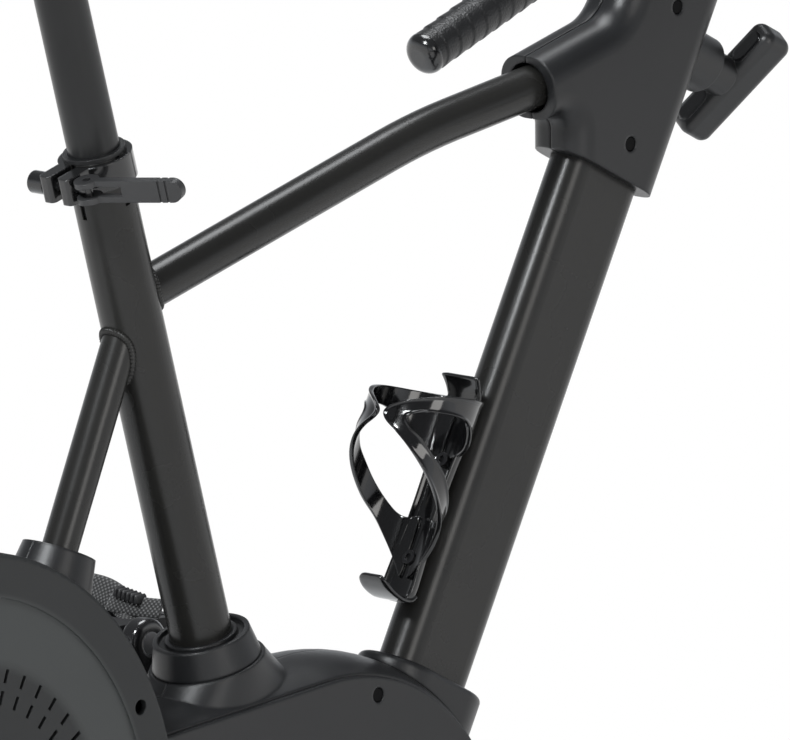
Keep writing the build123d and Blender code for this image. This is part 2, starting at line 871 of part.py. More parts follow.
with BuildPart() as head_shroud:
    with BuildSketch(side_plane(shroud_half)) as shroud_side:
        with BuildLine():
            Polyline(
                flat(mouth_low),
                flat(throat),
                flat(on_post(-shroud_reach - shroud_heel, 0, shroud_low)),
                flat(on_post(shroud_reach, 0, shroud_low)),
                flat(on_post(shroud_reach, 0, shroud_high)),
                flat(on_post(-shroud_reach, 0, shroud_high)),
                flat(ridge),
                flat(mouth + mouth_up * (mouth_d / 2)),
                close=True,
            )
        make_face()
        fillet(shroud_side.vertices().sort_by_distance(flat(ridge))[0], ridge_fillet)
        fillet(shroud_side.vertices().sort_by_distance(flat(throat))[0], throat_fillet)
    extrude(amount=2 * shroud_half)
    shroud_faces = head_shroud.faces().sort_by(Axis.Y)
    outline = shroud_faces[0].edges() + shroud_faces[-1].edges()
    fillet([edge for edge in outline if not is_end(edge)], shroud_round)
    with BuildSketch(POST.offset(shroud_low + shroud_lip)):
        SlotOverall(post_depth + 2 * shroud_cavity, post_width + 2 * shroud_cavity)
    extrude(amount=shroud_high - shroud_wall - shroud_low - shroud_lip, mode=Mode.SUBTRACT)
    with BuildSketch(Plane(origin=mouth - tube_front_way, z_dir=tube_front_way)):
        Circle(top_tube_d / 2 + mouth_clearance)
    extrude(amount=(tube_end - mouth).length, mode=Mode.SUBTRACT)
    with BuildSketch(POST.offset(post_high)):
        SlotOverall(bar_post_depth + 2 * shroud_play, bar_post_width + 2 * shroud_play)
    extrude(amount=shroud_high - post_high, mode=Mode.SUBTRACT)
    with BuildSketch(Plane(origin=on_post(0, 0, clamp_height), z_dir=POST.x_dir)):
        Circle(clamp_boss_d / 2 + trim_gap)
    extrude(amount=clamp_boss_end, mode=Mode.SUBTRACT)
    screw_seat = shroud_half - shroud_screw_depth
    for x, z in shroud_screw_spots:
        add_round(x, z, shroud_screw_boss_d, -screw_seat, screw_seat)
        cut_across(x, z, screw_hole_d, screw_seat, shroud_half)
        cut_across(x, z, screw_hole_d, -shroud_half, -screw_seat)
        cut_across(x, z, screw_shank_d, -shroud_half, shroud_half)
    cut_front_post()

for keep, side, name in ((Keep.TOP, -1, "right"), (Keep.BOTTOM, 1, "left")):
    with BuildPart() as shroud_half_shell:
        add(head_shroud.part)
        split(bisect_by=side_plane(side * shroud_seam / 2), keep=keep)
    save(shroud_half_shell, f"head_shroud_{name}")


def add_screw(x, z, side, seat, shank):
    """Round-headed screw along y, with its head outside the seat and its shank inside."""
    low, high = sorted((side * seat, side * (seat + screw_head)))
    add_round(x, z, screw_head_d, low, high)
    low, high = sorted((side * (seat - shank), side * seat))
    add_round(x, z, screw_shank_d, low, high)


with BuildPart() as cover_screws:
    for side in (-1, 1):
        for x, z in disc_screw_spots:
            add_screw(x, z, side, screw_floor, disc_flange + housing_wall)
        for x, z in panel_screw_spots:
            add_screw(x, z, side, housing_half, housing_wall)
        for x, z in shroud_screw_spots:
            add_screw(x, z, side, screw_seat, screw_seat - post_width / 2 + post_wall)
save(cover_screws, "cover_screws")

# Front clamp: a boss on the post and a T-shaped handle whose screw turns in it
handle_turn = radians(clamp_bar_turn)
handle_way = POST.z_dir * cos(handle_turn) + Vector(0, -sin(handle_turn), 0)
HANDLE = Plane(origin=on_post(0, 0, clamp_height), x_dir=handle_way, z_dir=POST.x_dir)
nose_start = (post_depth - post_width) / 2
screw_tip = post_depth / 2 - post_wall + free_gap

with BuildPart() as clamp_boss:
    with BuildSketch(HANDLE.offset(nose_start)):
        Circle(clamp_boss_d / 2)
        Circle(clamp_stud_d / 2 + slide_gap, mode=Mode.SUBTRACT)
    extrude(amount=clamp_boss_end - nose_start)
    cut_front_post()
save(clamp_boss, "clamp_boss")

with BuildPart() as handle_form:
    with BuildSketch(HANDLE.offset(clamp_bar_start)):
        Rectangle(clamp_bar_length, clamp_bar_width)
    extrude(amount=clamp_bar_thickness)
    fillet(handle_form.edges(), clamp_bar_round)

with BuildPart() as clamp_handle_inlays:
    with BuildSketch(HANDLE.offset(clamp_bar_start)):
        with GridLocations(clamp_bar_length - 2 * inlay_end - inlay_length, 1, 2, 1):
            SlotOverall(inlay_length, inlay_width)
    extrude(amount=inlay_depth)
    add(handle_form.part, mode=Mode.INTERSECT)
save(clamp_handle_inlays, "clamp_handle_inlays")

with BuildPart() as clamp_handle:
    add(handle_form.part)
    add(clamp_handle_inlays.part, mode=Mode.SUBTRACT)
    with BuildSketch(HANDLE.offset(clamp_hub_start)):
        Circle(clamp_hub_d / 2)
    extrude(amount=clamp_bar_start - clamp_hub_start + inlay_depth)
    with BuildSketch(HANDLE.offset(screw_tip)):
        Circle(clamp_stud_d / 2)
    extrude(amount=clamp_bar_start - screw_tip)
save(clamp_handle, "clamp_handle")

# Bottle cage: a back plate on two bosses, and arms cut from a tube of the bottle's size
POST_SIDE = Plane(origin=POST.origin, x_dir=POST.x_dir, z_dir=(0, -1, 0))
plate_front = -post_depth / 2 - cage_standoff
plate_rear = plate_front - cage_plate_thickness
bottle_middle = plate_rear - bottle_d / 2
cage_outer = bottle_d / 2 + cage_thickness
cage_tip = bottle_middle - cage_outer
cage_bolt_rises = (cage_bolt_low, cage_bolt_low + cage_bolt_spacing)

with BuildPart() as bottle_cage:
    with BuildSketch(POST_SIDE):
        with BuildLine():
            Spline((plate_front, cage_band_root[1]), cage_band_crest[1], (cage_tip, cage_band_tip[1]))
            Line((cage_tip, cage_band_tip[1]), (cage_tip, cage_band_tip[0]))
            Spline((cage_tip, cage_band_tip[0]), cage_band_crest[0], (plate_front, cage_band_root[0]))
            Line((plate_front, cage_band_root[0]), (plate_front, cage_band_root[1]))
        make_face()
        with BuildLine():
            Spline((plate_front, cage_strip_root[1]), *cage_strip_upper, (cage_tip, cage_band_tip[1]))
            Line((cage_tip, cage_band_tip[1]), (cage_tip, cage_strip_tip))
            Spline((cage_tip, cage_strip_tip), *cage_strip_lower, (plate_front, cage_strip_root[0]))
            Line((plate_front, cage_strip_root[0]), (plate_front, cage_strip_root[1]))
        make_face()
    extrude(amount=cage_outer, both=True)
    with BuildSketch(POST.offset(cage_plate_low)):
        with Locations((bottle_middle, 0)):
            Circle(cage_outer)
            Circle(bottle_d / 2, mode=Mode.SUBTRACT)
        with Locations((cage_tip, 0)):
            Rectangle(bottle_d / 2, cage_tip_gap, mode=Mode.SUBTRACT)
    extrude(amount=cage_plate_high - cage_plate_low, mode=Mode.INTERSECT)
    with BuildSketch(POST_SIDE):
        with BuildLine():
            Polyline(
                (plate_front, cage_plate_low),
                (plate_front, cage_plate_high),
                (plate_rear - cage_lip_reach, cage_plate_high),
                (plate_rear - cage_lip_reach, cage_plate_high - cage_thickness),
                (plate_rear, cage_lip_root),
                (plate_rear, cage_plate_low + cage_plate_thickness),
                (cage_foot_knee, cage_plate_low + cage_plate_thickness),
                (cage_foot_tip[0], cage_foot_tip[1] + cage_thickness),
                cage_foot_tip,
                (cage_foot_knee, cage_plate_low),
                close=True,
            )
        make_face()
    extrude(amount=cage_plate_width / 2, both=True)
    for rise in cage_bolt_rises:
        with BuildSketch(Plane(origin=on_post(plate_front, 0, rise), z_dir=POST.x_dir)):
            Circle(cage_boss_d / 2)
        extrude(amount=post_width / 2)
        with BuildSketch(Plane(origin=on_post(plate_rear, 0, rise), z_dir=POST.x_dir)):
            Circle(cage_bolt_d / 2)
        extrude(amount=post_width, mode=Mode.SUBTRACT)
        with BuildSketch(Plane(origin=on_post(plate_rear, 0, rise), z_dir=POST.x_dir)):
            Circle(cage_head_d / 2 + free_gap)
        extrude(amount=-cage_head, mode=Mode.SUBTRACT)
    cut_front_post()
save(bottle_cage, "bottle_cage")

with BuildPart() as cage_bolts:
    for rise in cage_bolt_rises:
        with BuildSketch(Plane(origin=on_post(plate_rear - cage_head, 0, rise), z_dir=POST.x_dir)):
            Circle(cage_head_d / 2)
        extrude(amount=cage_head)
        with BuildSketch(Plane(origin=on_post(plate_rear, 0, rise), z_dir=POST.x_dir)):
            Circle(cage_bolt_d / 2)
        extrude(amount=cage_plate_thickness + cage_standoff + 2 * post_wall)
        with BuildSketch(Plane(origin=on_post(plate_rear - cage_head, 0, rise), z_dir=POST.x_dir)):
            RegularPolygon(cage_bolt_d / 2, 6)
        extrude(amount=cage_head / 2, mode=Mode.SUBTRACT)
save(cage_bolts, "cage_bolts")

# Seat post clamp: a slit band, a cross bolt, and a lever that swings on the bolt's pin
ear_outer = band_slit / 2 + ear_width
band_middle = band_low + band_height / 2
pin_side = -(ear_outer + lever_cam_d / 2 + free_gap)
CLAMP_SIDE = Plane(origin=on_seat(-clamp_bolt_back, 0, band_middle), x_dir=SEAT.x_dir, z_dir=(0, -1, 0))
LEVER_PIN = Plane(
    origin=on_seat(-clamp_bolt_back, pin_side, band_middle), x_dir=SEAT.x_dir, z_dir=SEAT.z_dir
)

with BuildPart() as seat_clamp_band:
    with BuildSketch(SEAT.offset(band_low)):
        Circle(band_d / 2)
        with Locations((-ear_reach, 0)):
            Rectangle(ear_reach, 2 * ear_outer, align=(Align.MIN, Align.CENTER))
            Rectangle(ear_reach, band_slit, align=(Align.MIN, Align.CENTER), mode=Mode.SUBTRACT)
        Circle(seat_tube_d / 2, mode=Mode.SUBTRACT)
    extrude(amount=band_height)
    upright_edges = seat_clamp_band.edges().filter_by(Axis((0, 0, 0), SEAT.z_dir))
    ear_edges = upright_edges.group_by(Axis((0, 0, 0), SEAT.x_dir))[0]
    fillet(ear_edges, ear_round)
    with BuildSketch(CLAMP_SIDE):
        Circle(clamp_bolt_d / 2)
    extrude(amount=ear_outer, both=True, mode=Mode.SUBTRACT)
save(seat_clamp_band, "seat_clamp_band")

with BuildPart() as seat_clamp_bolt:
    with BuildSketch(CLAMP_SIDE.offset(-ear_outer - clamp_nut)):
        Circle(clamp_nut_d / 2)
    extrude(amount=clamp_nut)
    with BuildSketch(CLAMP_SIDE.offset(-ear_outer)):
        Circle(clamp_bolt_d / 2)
    extrude(amount=ear_outer - pin_side)
    with BuildSketch(LEVER_PIN):
        Circle(lever_pin_d / 2)
    extrude(amount=lever_height / 2, both=True)
save(seat_clamp_bolt, "seat_clamp_bolt")

lever_way = SEAT.x_dir * sin(radians(lever_turn)) + Vector(0, -cos(radians(lever_turn)), 0)
LEVER_FACE = Plane(origin=LEVER_PIN.origin, x_dir=lever_way, z_dir=lever_way.cross(SEAT.z_dir))
with BuildPart() as seat_clamp_lever:
    with BuildSketch(LEVER_FACE):
        with Locations((lever_length - lever_height / 2, 0)):
            Rectangle(lever_length - lever_height / 2, lever_height, align=(Align.MAX, Align.CENTER))
            Circle(lever_height / 2)
    extrude(amount=lever_thickness / 2, both=True)
    with BuildSketch(LEVER_PIN):
        Circle(lever_cam_d / 2)
    extrude(amount=lever_height / 2, both=True)
    with BuildSketch(LEVER_PIN):
        Circle(lever_cam_d / 2 + free_gap)
    extrude(amount=lever_fork_gap / 2, both=True, mode=Mode.SUBTRACT)
    with BuildSketch(LEVER_FACE):
        Rectangle(lever_window, lever_fork_gap, align=(Align.MIN, Align.CENTER))
    extrude(amount=lever_cam_d, both=True, mode=Mode.SUBTRACT)
    with BuildSketch(LEVER_PIN):
        Circle(lever_pin_d / 2 + slide_gap)
    extrude(amount=lever_height / 2, both=True, mode=Mode.SUBTRACT)
    for step in lever_groove_steps:
        for face in (-1, 1):
            with BuildSketch(LEVER_FACE.offset(face * lever_thickness / 2)):
                with Locations((lever_length - step, 0)):
                    Rectangle(lever_groove_width, lever_height)
            extrude(amount=-face * lever_groove, mode=Mode.SUBTRACT)
save(seat_clamp_lever, "seat_clamp_lever")

# Bushings in the seat tube and in the front post
with BuildPart() as post_bushings:
    seat_bore = seat_post_d / 2 + slide_gap
    with BuildSketch(SEAT.offset(seat_tube_rise - bushing_depth)):
        Circle(seat_tube_bore / 2)
        Circle(seat_bore, mode=Mode.SUBTRACT)
    extrude(amount=bushing_depth)
    with BuildSketch(SEAT.offset(seat_tube_rise)):
        Circle(seat_tube_d / 2)
        Circle(seat_bore, mode=Mode.SUBTRACT)
    extrude(amount=bushing_flange)
    bar_bore = (bar_post_depth + 2 * slide_gap, bar_post_width + 2 * slide_gap)
    with BuildSketch(POST.offset(post_high - post_bushing_depth)):
        SlotOverall(post_depth - 2 * post_wall, post_width - 2 * post_wall)
        SlotOverall(*bar_bore, mode=Mode.SUBTRACT)
    extrude(amount=post_bushing_depth)
    with BuildSketch(POST.offset(post_high)):
        SlotOverall(post_depth, post_width)
        SlotOverall(*bar_bore, mode=Mode.SUBTRACT)
    extrude(amount=post_bushing_flange)
save(post_bushings, "post_bushings")

# Seat post and saddle
seat_top = on_seat(0, 0, seat_post_high)
rail_z = seat_top.Z + rail_rise
shell_z = rail_z + rail_rear[2]
pad_z = shell_z + saddle_shell_thickness

with BuildPart() as seat_post:
    with BuildSketch(SEAT.offset(seat_post_low)):
        Circle(seat_post_d / 2)
        Circle(seat_post_d / 2 - seat_post_wall, mode=Mode.SUBTRACT)
    extrude(amount=seat_post_high - seat_post_low)
save(seat_post, "seat_post")


def cut_rail_grooves():
    """Running fits for the two saddle rails."""
    with BuildSketch(Plane(origin=(seat_top.X, 0, rail_z), x_dir=(0, 1, 0), z_dir=(1, 0, 0))) as section:
        with GridLocations(rail_spread, 1, 2, 1):
            Circle(rail_d / 2 + slide_gap)
    extrude(section.sketch, amount=clamp_block_length, both=True, mode=Mode.SUBTRACT)


with BuildPart() as saddle_clamp_base:
    with BuildSketch(Plane(origin=(seat_top.X, 0, rail_z - clamp_block_below))):
        Rectangle(clamp_block_length, clamp_block_width)
    extrude(amount=clamp_block_below)
    with BuildSketch(SEAT.offset(seat_post_high - clamp_socket_depth)):
        Circle(clamp_socket_d / 2)
    extrude(amount=clamp_socket_depth + clamp_socket_rise)
    with BuildSketch(SEAT.offset(seat_post_high - clamp_socket_depth)):
        Circle(seat_post_d / 2)
    extrude(amount=clamp_socket_depth, mode=Mode.SUBTRACT)
    cut_rail_grooves()
save(saddle_clamp_base, "saddle_clamp_base")

with BuildPart() as saddle_clamp_cap:
    with BuildSketch(Plane(origin=(seat_top.X, 0, rail_z))):
        Rectangle(clamp_block_length, clamp_block_width)
    extrude(amount=clamp_cap_height)
    fillet(saddle_clamp_cap.faces().sort_by(Axis.Z)[-1].edges(), clamp_cap_round)
    cut_rail_grooves()
save(saddle_clamp_cap, "saddle_clamp_cap")

with BuildPart() as saddle_rails:
    for side in (-1, 1):
        with BuildLine() as rail_line:
            FilletPolyline(
                (seat_top.X + rail_rear[0], side * rail_rear[1] / 2, shell_z),
                (seat_top.X - rail_flat / 2, side * rail_spread / 2, rail_z),
                (seat_top.X + rail_flat / 2, side * rail_spread / 2, rail_z),
                (seat_top.X + rail_front[0], side * rail_front[1] / 2, shell_z),
                radius=rail_bend_radius,
            )
        with BuildSketch(Plane(origin=rail_line.line @ 0, z_dir=rail_line.line % 0)):
            Circle(rail_d / 2)
        sweep(path=rail_line.line)
save(saddle_rails, "saddle_rails")

with BuildPart() as saddle_shell:
    with BuildSketch(Plane(origin=(seat_top.X, 0, shell_z))):
        with Locations(
            (saddle_shell_rear[0], saddle_shell_rear[1]), (saddle_shell_rear[0], -saddle_shell_rear[1])
        ):
            Circle(saddle_shell_rear[2])
        with Locations((saddle_shell_nose[0], 0)):
            Circle(saddle_shell_nose[1])
        make_hull()
    extrude(amount=saddle_shell_thickness)
    with BuildSketch(Plane(origin=(seat_top.X, 0, shell_z))):
        with Locations((rail_rear[0], 0)):
            Rectangle(*rail_socket_rear)
        with Locations((rail_front[0], 0)):
            Rectangle(*rail_socket_front)
    extrude(amount=-rail_socket_depth)
    add(saddle_rails.part, mode=Mode.SUBTRACT)
save(saddle_shell, "saddle_shell")

with BuildPart() as saddle_pad:
    for station, width, height in saddle_sections:
        half = width / 2
        with BuildSketch(
            Plane(origin=(seat_top.X + station, 0, pad_z), x_dir=(0, 1, 0), z_dir=(1, 0, 0))
        ):
            with BuildLine():
                Spline(
                    (-saddle_draw_in * half, 0),
                    (-half, saddle_belt * height),
                    (-saddle_shoulder[0] * half, saddle_shoulder[1] * height),
                    (-saddle_crest * half, height),
                    (0, (1 - saddle_channel) * height),
                    (saddle_crest * half, height),
                    (saddle_shoulder[0] * half, saddle_shoulder[1] * height),
                    (half, saddle_belt * height),
                    (saddle_draw_in * half, 0),
                )
                Line((saddle_draw_in * half, 0), (-saddle_draw_in * half, 0))
            make_face()
    loft()
save(saddle_pad, "saddle_pad")

# Handlebar post, stem and drop bar
with BuildPart() as handlebar_post:
    with BuildSketch(POST.offset(bar_post_low)):
        SlotOverall(bar_post_depth, bar_post_width)
        SlotOverall(
            bar_post_depth - 2 * bar_post_wall, bar_post_width - 2 * bar_post_wall, mode=Mode.SUBTRACT
        )
    extrude(amount=bar_post_high - bar_post_low)
save(handlebar_post, "handlebar_post")

bar_middle = Vector(bar_x, 0, bar_z)
stem_way = (bar_middle - on_post(0, 0, bar_post_high)).normalized()
STEM_SIDE = Plane(origin=bar_middle, x_dir=stem_way, z_dir=(0, -1, 0))
STEM_FRONT = Plane(origin=bar_middle, x_dir=(0, 1, 0), z_dir=stem_way)
stem_reach = bar_post_depth / 2 + stem_skin

with BuildPart() as stem_form:
    with BuildSketch(side_plane(stem_width / 2)):
        with BuildLine():
            Polyline(
                flat(on_post(-stem_reach, 0, bar_post_high - stem_socket)),
                flat(on_post(stem_reach, 0, bar_post_high - stem_socket)),
                flat(on_post(stem_reach, 0, bar_post_high + stem_skin)),
                flat(on_post(-stem_reach, 0, bar_post_high + stem_skin)),
                close=True,
            )
        make_face()
        with BuildLine():
            Polyline(
                flat(STEM_SIDE.from_local_coords(Vector(-stem_clamp_depth / 2, -stem_clamp_height / 2))),
                flat(STEM_SIDE.from_local_coords(Vector(stem_clamp_depth / 2, -stem_clamp_height / 2))),
                flat(STEM_SIDE.from_local_coords(Vector(stem_clamp_depth / 2, stem_clamp_height / 2))),
                flat(STEM_SIDE.from_local_coords(Vector(-stem_clamp_depth / 2, stem_clamp_height / 2))),
                close=True,
            )
        make_face()
        with Locations(flat(bar_middle)):
            Circle(stem_clamp_d / 2)
        make_hull()
    extrude(amount=stem_width)
    stem_faces = stem_form.faces().sort_by(Axis.Y)
    fillet(stem_faces[0].edges() + stem_faces[-1].edges(), stem_round)
    with BuildSketch(POST.offset(bar_post_high - stem_socket)):
        SlotOverall(bar_post_depth, bar_post_width)
    extrude(amount=stem_socket, mode=Mode.SUBTRACT)
    cut_across(bar_x, bar_z, bar_clamp_d, -stem_width / 2, stem_width / 2)
    with BuildSketch(STEM_FRONT.offset(stem_bolt_seat - stem_bolt_length)):
        with GridLocations(stem_bolt_spread, stem_bolt_pitch, 2, 2):
            Circle(stem_bolt_d / 2)
    extrude(amount=stem_bolt_length, mode=Mode.SUBTRACT)
    with BuildSketch(STEM_FRONT.offset(stem_bolt_seat)):
        with GridLocations(stem_bolt_spread, stem_bolt_pitch, 2, 2):
            Circle(stem_bolt_head_d / 2 + free_gap)
    extrude(amount=stem_clamp_d, mode=Mode.SUBTRACT)

with BuildPart() as stem:
    add(stem_form.part)
    split(bisect_by=STEM_FRONT.offset(-faceplate_gap / 2), keep=Keep.BOTTOM)
save(stem, "stem")

with BuildPart() as stem_faceplate:
    add(stem_form.part)
    split(bisect_by=STEM_FRONT.offset(faceplate_gap / 2), keep=Keep.TOP)
save(stem_faceplate, "stem_faceplate")

with BuildPart() as stem_bolts:
    with BuildSketch(STEM_FRONT.offset(stem_bolt_seat - stem_bolt_length)):
        with GridLocations(stem_bolt_spread, stem_bolt_pitch, 2, 2):
            Circle(stem_bolt_d / 2)
    extrude(amount=stem_bolt_length)
    with BuildSketch(STEM_FRONT.offset(stem_bolt_seat)):
        with GridLocations(stem_bolt_spread, stem_bolt_pitch, 2, 2):
            Circle(stem_bolt_head_d / 2)
    extrude(amount=stem_bolt_head)
    with BuildSketch(STEM_FRONT.offset(stem_bolt_seat + stem_bolt_head)):
        with GridLocations(stem_bolt_spread, stem_bolt_pitch, 2, 2):
            RegularPolygon(stem_bolt_d / 2, 6)
    extrude(amount=-stem_bolt_head / 2, mode=Mode.SUBTRACT)
save(stem_bolts, "stem_bolts")

grip_slope = sin(radians(bar_end_slope)) / cos(radians(bar_end_slope))
drop_x = bar_x + bar_reach
drop_z = bar_end_z + (drop_x - bar_end_x) * grip_slope


def bar_corners(side):
    """Corners of one end of the drop bar, from its plug to the flat at the top."""
    return [
        (bar_end_x, side * bar_half_width, bar_end_z),
        (drop_x, side * bar_half_width, drop_z),
        (drop_x, side * bar_half_width, bar_z - bar_ramp),
        (bar_x, side * bar_half_width, bar_z),
    ]


with BuildPart() as drop_bar:
    with BuildLine() as bar_line:
        FilletPolyline(*bar_corners(-1), *reversed(bar_corners(1)), radius=bar_bend_radius)
    with BuildSketch(Plane(origin=bar_line.line @ 0, z_dir=bar_line.line % 0)):
        Circle(bar_d / 2)
        Circle(bar_d / 2 - bar_wall, mode=Mode.SUBTRACT)
    sweep(path=bar_line.line)
    with BuildSketch(Plane(origin=bar_middle)):
        with BuildLine():
            Polyline(
                (bar_d / 2 - bar_wall, -bar_clamp_half - bar_taper),
                (bar_d / 2, -bar_clamp_half - bar_taper),
                (bar_clamp_d / 2, -bar_clamp_half),
                (bar_clamp_d / 2, bar_clamp_half),
                (bar_d / 2, bar_clamp_half + bar_taper),
                (bar_d / 2 - bar_wall, bar_clamp_half + bar_taper),
                close=True,
            )
        make_face()
    revolve(axis=Axis(bar_middle, (0, 1, 0)))
save(drop_bar, "drop_bar")

with BuildPart() as bar_tape:
    for side in (-1, 1):
        with BuildLine() as tape_line:
            FilletPolyline(*bar_corners(side), (bar_x, side * tape_stop, bar_z), radius=bar_bend_radius)
        with BuildSketch(Plane(origin=tape_line.line @ 0, z_dir=tape_line.line % 0)):
            Circle(tape_d / 2)
            Circle(bar_d / 2 + tape_gap, mode=Mode.SUBTRACT)
        sweep(path=tape_line.line)
save(bar_tape, "bar_tape")

with BuildPart() as bar_end_plugs:
    end_way = Vector(-cos(radians(bar_end_slope)), 0, -sin(radians(bar_end_slope)))
    end_planes = [Plane(origin=bar_corners(side)[0], z_dir=end_way) for side in (-1, 1)]
    with BuildSketch(*end_planes):
        Circle(tape_d / 2)
    extrude(amount=plug_cap)
    fillet(bar_end_plugs.edges().group_by(Axis((0, 0, 0), end_way))[-1], plug_round)
    with BuildSketch(*end_planes):
        Circle(bar_d / 2 - bar_wall)
    extrude(amount=-plug_depth)
save(bar_end_plugs, "bar_end_plugs")

# Crankset and pedals
left_eye = bb + Vector(cos(radians(crank_angle)), 0, sin(radians(crank_angle))) * crank_length
right_eye = Vector(0, 0, 2 * bb_height) - Vector(left_eye.X, 0, left_eye.Z)
crank_outer = crank_inner + crank_thickness


def add_crank(eye, side):
    """Crank arm with rounded edges and a threaded eye, on one side of the bike."""
    low, high = sorted((side * crank_inner, side * crank_outer))
    with BuildSketch(side_plane(high)) as section:
        with Locations(flat(bb)):
            Circle(crank_boss_d / 2)
        with Locations(flat(eye)):
            Circle(crank_eye_d / 2)
        make_hull()
    arm = extrude(section.sketch, amount=crank_thickness)
    arm_faces = arm.faces().sort_by(Axis.Y)
    fillet(arm_faces[0].edges() + arm_faces[-1].edges(), crank_round)
    cut_across(eye.X, eye.Z, pedal_thread_d, low, high)


with BuildPart() as crank_right:
    add_crank(right_eye, -1)
    add_round(0, bb_height, spindle_d, -crank_outer, crank_outer)
save(crank_right, "crank_right")

with BuildPart() as crank_left:
    add_crank(left_eye, 1)
    cut_across(0, bb_height, spindle_d, crank_inner, crank_outer)
save(crank_left, "crank_left")

pulley_middle = (pulley_right + pulley_left) / 2
with BuildPart() as drive_pulley:
    add_ring(0, bb_height, pulley_d, pulley_d - 2 * pulley_rim, pulley_right, pulley_left)
    with BuildSketch(side_plane(pulley_middle + pulley_web / 2)):
        with Locations(flat(bb)):
            Circle(pulley_d / 2 - pulley_rim / 2)
            Circle(spindle_d / 2, mode=Mode.SUBTRACT)
            with PolarLocations((pulley_d / 2 - pulley_rim + pulley_hub_d / 2) / 2, pulley_windows):
                Circle(pulley_window_d / 2, mode=Mode.SUBTRACT)
    extrude(amount=pulley_web)
    add_ring(0, bb_height, pulley_hub_d, spindle_d, pulley_right, pulley_left)
save(drive_pulley, "drive_pulley")

with BuildPart() as pedal_axles:
    for eye, side in ((right_eye, -1), (left_eye, 1)):
        for diameter, start, end in (
            (pedal_thread_d, crank_inner, crank_outer),
            (pedal_flange_d, crank_outer, crank_outer + pedal_flange),
            (pedal_axle_d, crank_outer + pedal_flange, pedal_axle_end),
        ):
            low, high = sorted((side * start, side * end))
            add_round(eye.X, eye.Z, diameter, low, high)
save(pedal_axles, "pedal_axles")

pedal_outer = pedal_inner + pedal_width
for eye, side, name in ((right_eye, -1, "right"), (left_eye, 1, "left")):
    with BuildPart() as pedal:
        middle = side * (pedal_inner + pedal_outer) / 2
        with BuildSketch(Plane(origin=(eye.X, middle, eye.Z - pedal_thickness / 2))):
            RectangleRounded(pedal_length, pedal_width, pedal_corner)
            with GridLocations(*pedal_window_pitch, 2, 2):
                Rectangle(*pedal_window, mode=Mode.SUBTRACT)
        extrude(amount=pedal_thickness)
        low, high = sorted((side * pedal_inner, side * (pedal_axle_end + free_gap)))
        cut_across(eye.X, eye.Z, pedal_axle_d + 2 * slide_gap, low, high)
    save(pedal, f"pedal_{name}")

    with BuildPart() as toe_strap:
        top = eye.Z + pedal_thickness / 2
        foot = top - pedal_thickness / 2 - strap_tail
        strap_plane = Plane(
            origin=(eye.X + strap_offset - strap_width / 2, 0, 0), x_dir=(0, side, 0), z_dir=(side, 0, 0)
        )
        with BuildSketch(strap_plane):
            for skin, mode in ((strap_thickness, Mode.ADD), (0, Mode.SUBTRACT)):
                near = pedal_inner - skin
                far = pedal_outer + skin
                with BuildLine():
                    Polyline((near, top), (near, foot), (far, foot), (far, top))
                    ThreePointArc((far, top), ((near + far) / 2, top + strap_rise + skin), (near, top))
                make_face(mode=mode)
        extrude(amount=side * strap_width)
    save(toe_strap, f"toe_strap_{name}")

# Flywheel with its shaft, belt and brake
with BuildPart() as flywheel:
    flywheel_middle = (flywheel_right + flywheel_left) / 2
    add_ring(
        axle_x, axle_z, flywheel_d, flywheel_d - 2 * flywheel_rim, flywheel_right, flywheel_left
    )
    add_ring(
        axle_x, axle_z, flywheel_d - flywheel_rim, shaft_d,
        flywheel_middle - flywheel_web / 2, flywheel_middle + flywheel_web / 2,
    )
    add_ring(axle_x, axle_z, flywheel_hub_d, shaft_d, flywheel_right, flywheel_left)
save(flywheel, "flywheel")

with BuildPart() as pulley_shaft:
    add_round(axle_x, axle_z, shaft_d, flywheel_right - brake_plate, pulley_left + brake_plate)
    add_round(axle_x, axle_z, small_pulley_d, pulley_right, pulley_left)
save(pulley_shaft, "pulley_shaft")

with BuildPart() as drive_belt:
    with BuildSketch(side_plane(pulley_middle + belt_width / 2)):
        for skin, mode in ((belt_gap + belt_thickness, Mode.ADD), (belt_gap, Mode.SUBTRACT)):
            with BuildSketch(mode=Mode.PRIVATE) as loop:
                with Locations(flat(bb)):
                    Circle(pulley_d / 2 + skin)
                with Locations(flat(axle)):
                    Circle(small_pulley_d / 2 + skin)
                make_hull()
            add(loop.sketch, mode=mode)
    extrude(amount=belt_width)
save(drive_belt, "drive_belt")

with BuildPart() as eddy_brake:
    brake_inner = flywheel_d / 2 + brake_clearance
    brake_outer = brake_inner + brake_bridge
    outer_plate = flywheel_right - brake_gap
    for low, high, root in (
        (-leg_width / 2 - brake_plate, -leg_width / 2, brake_outer - brake_height),
        (outer_plate - brake_plate, outer_plate, brake_outer - brake_height),
        (outer_plate - brake_plate, -leg_width / 2, brake_inner),
    ):
        with BuildSketch(side_plane(high)):
            with Locations(flat(axle)):
                Circle(brake_outer)
                Circle(root, mode=Mode.SUBTRACT)
                Rectangle(
                    brake_length, brake_outer, align=(Align.CENTER, Align.MAX), mode=Mode.INTERSECT
                )
        extrude(amount=high - low)
save(eddy_brake, "eddy_brake")
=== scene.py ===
import math

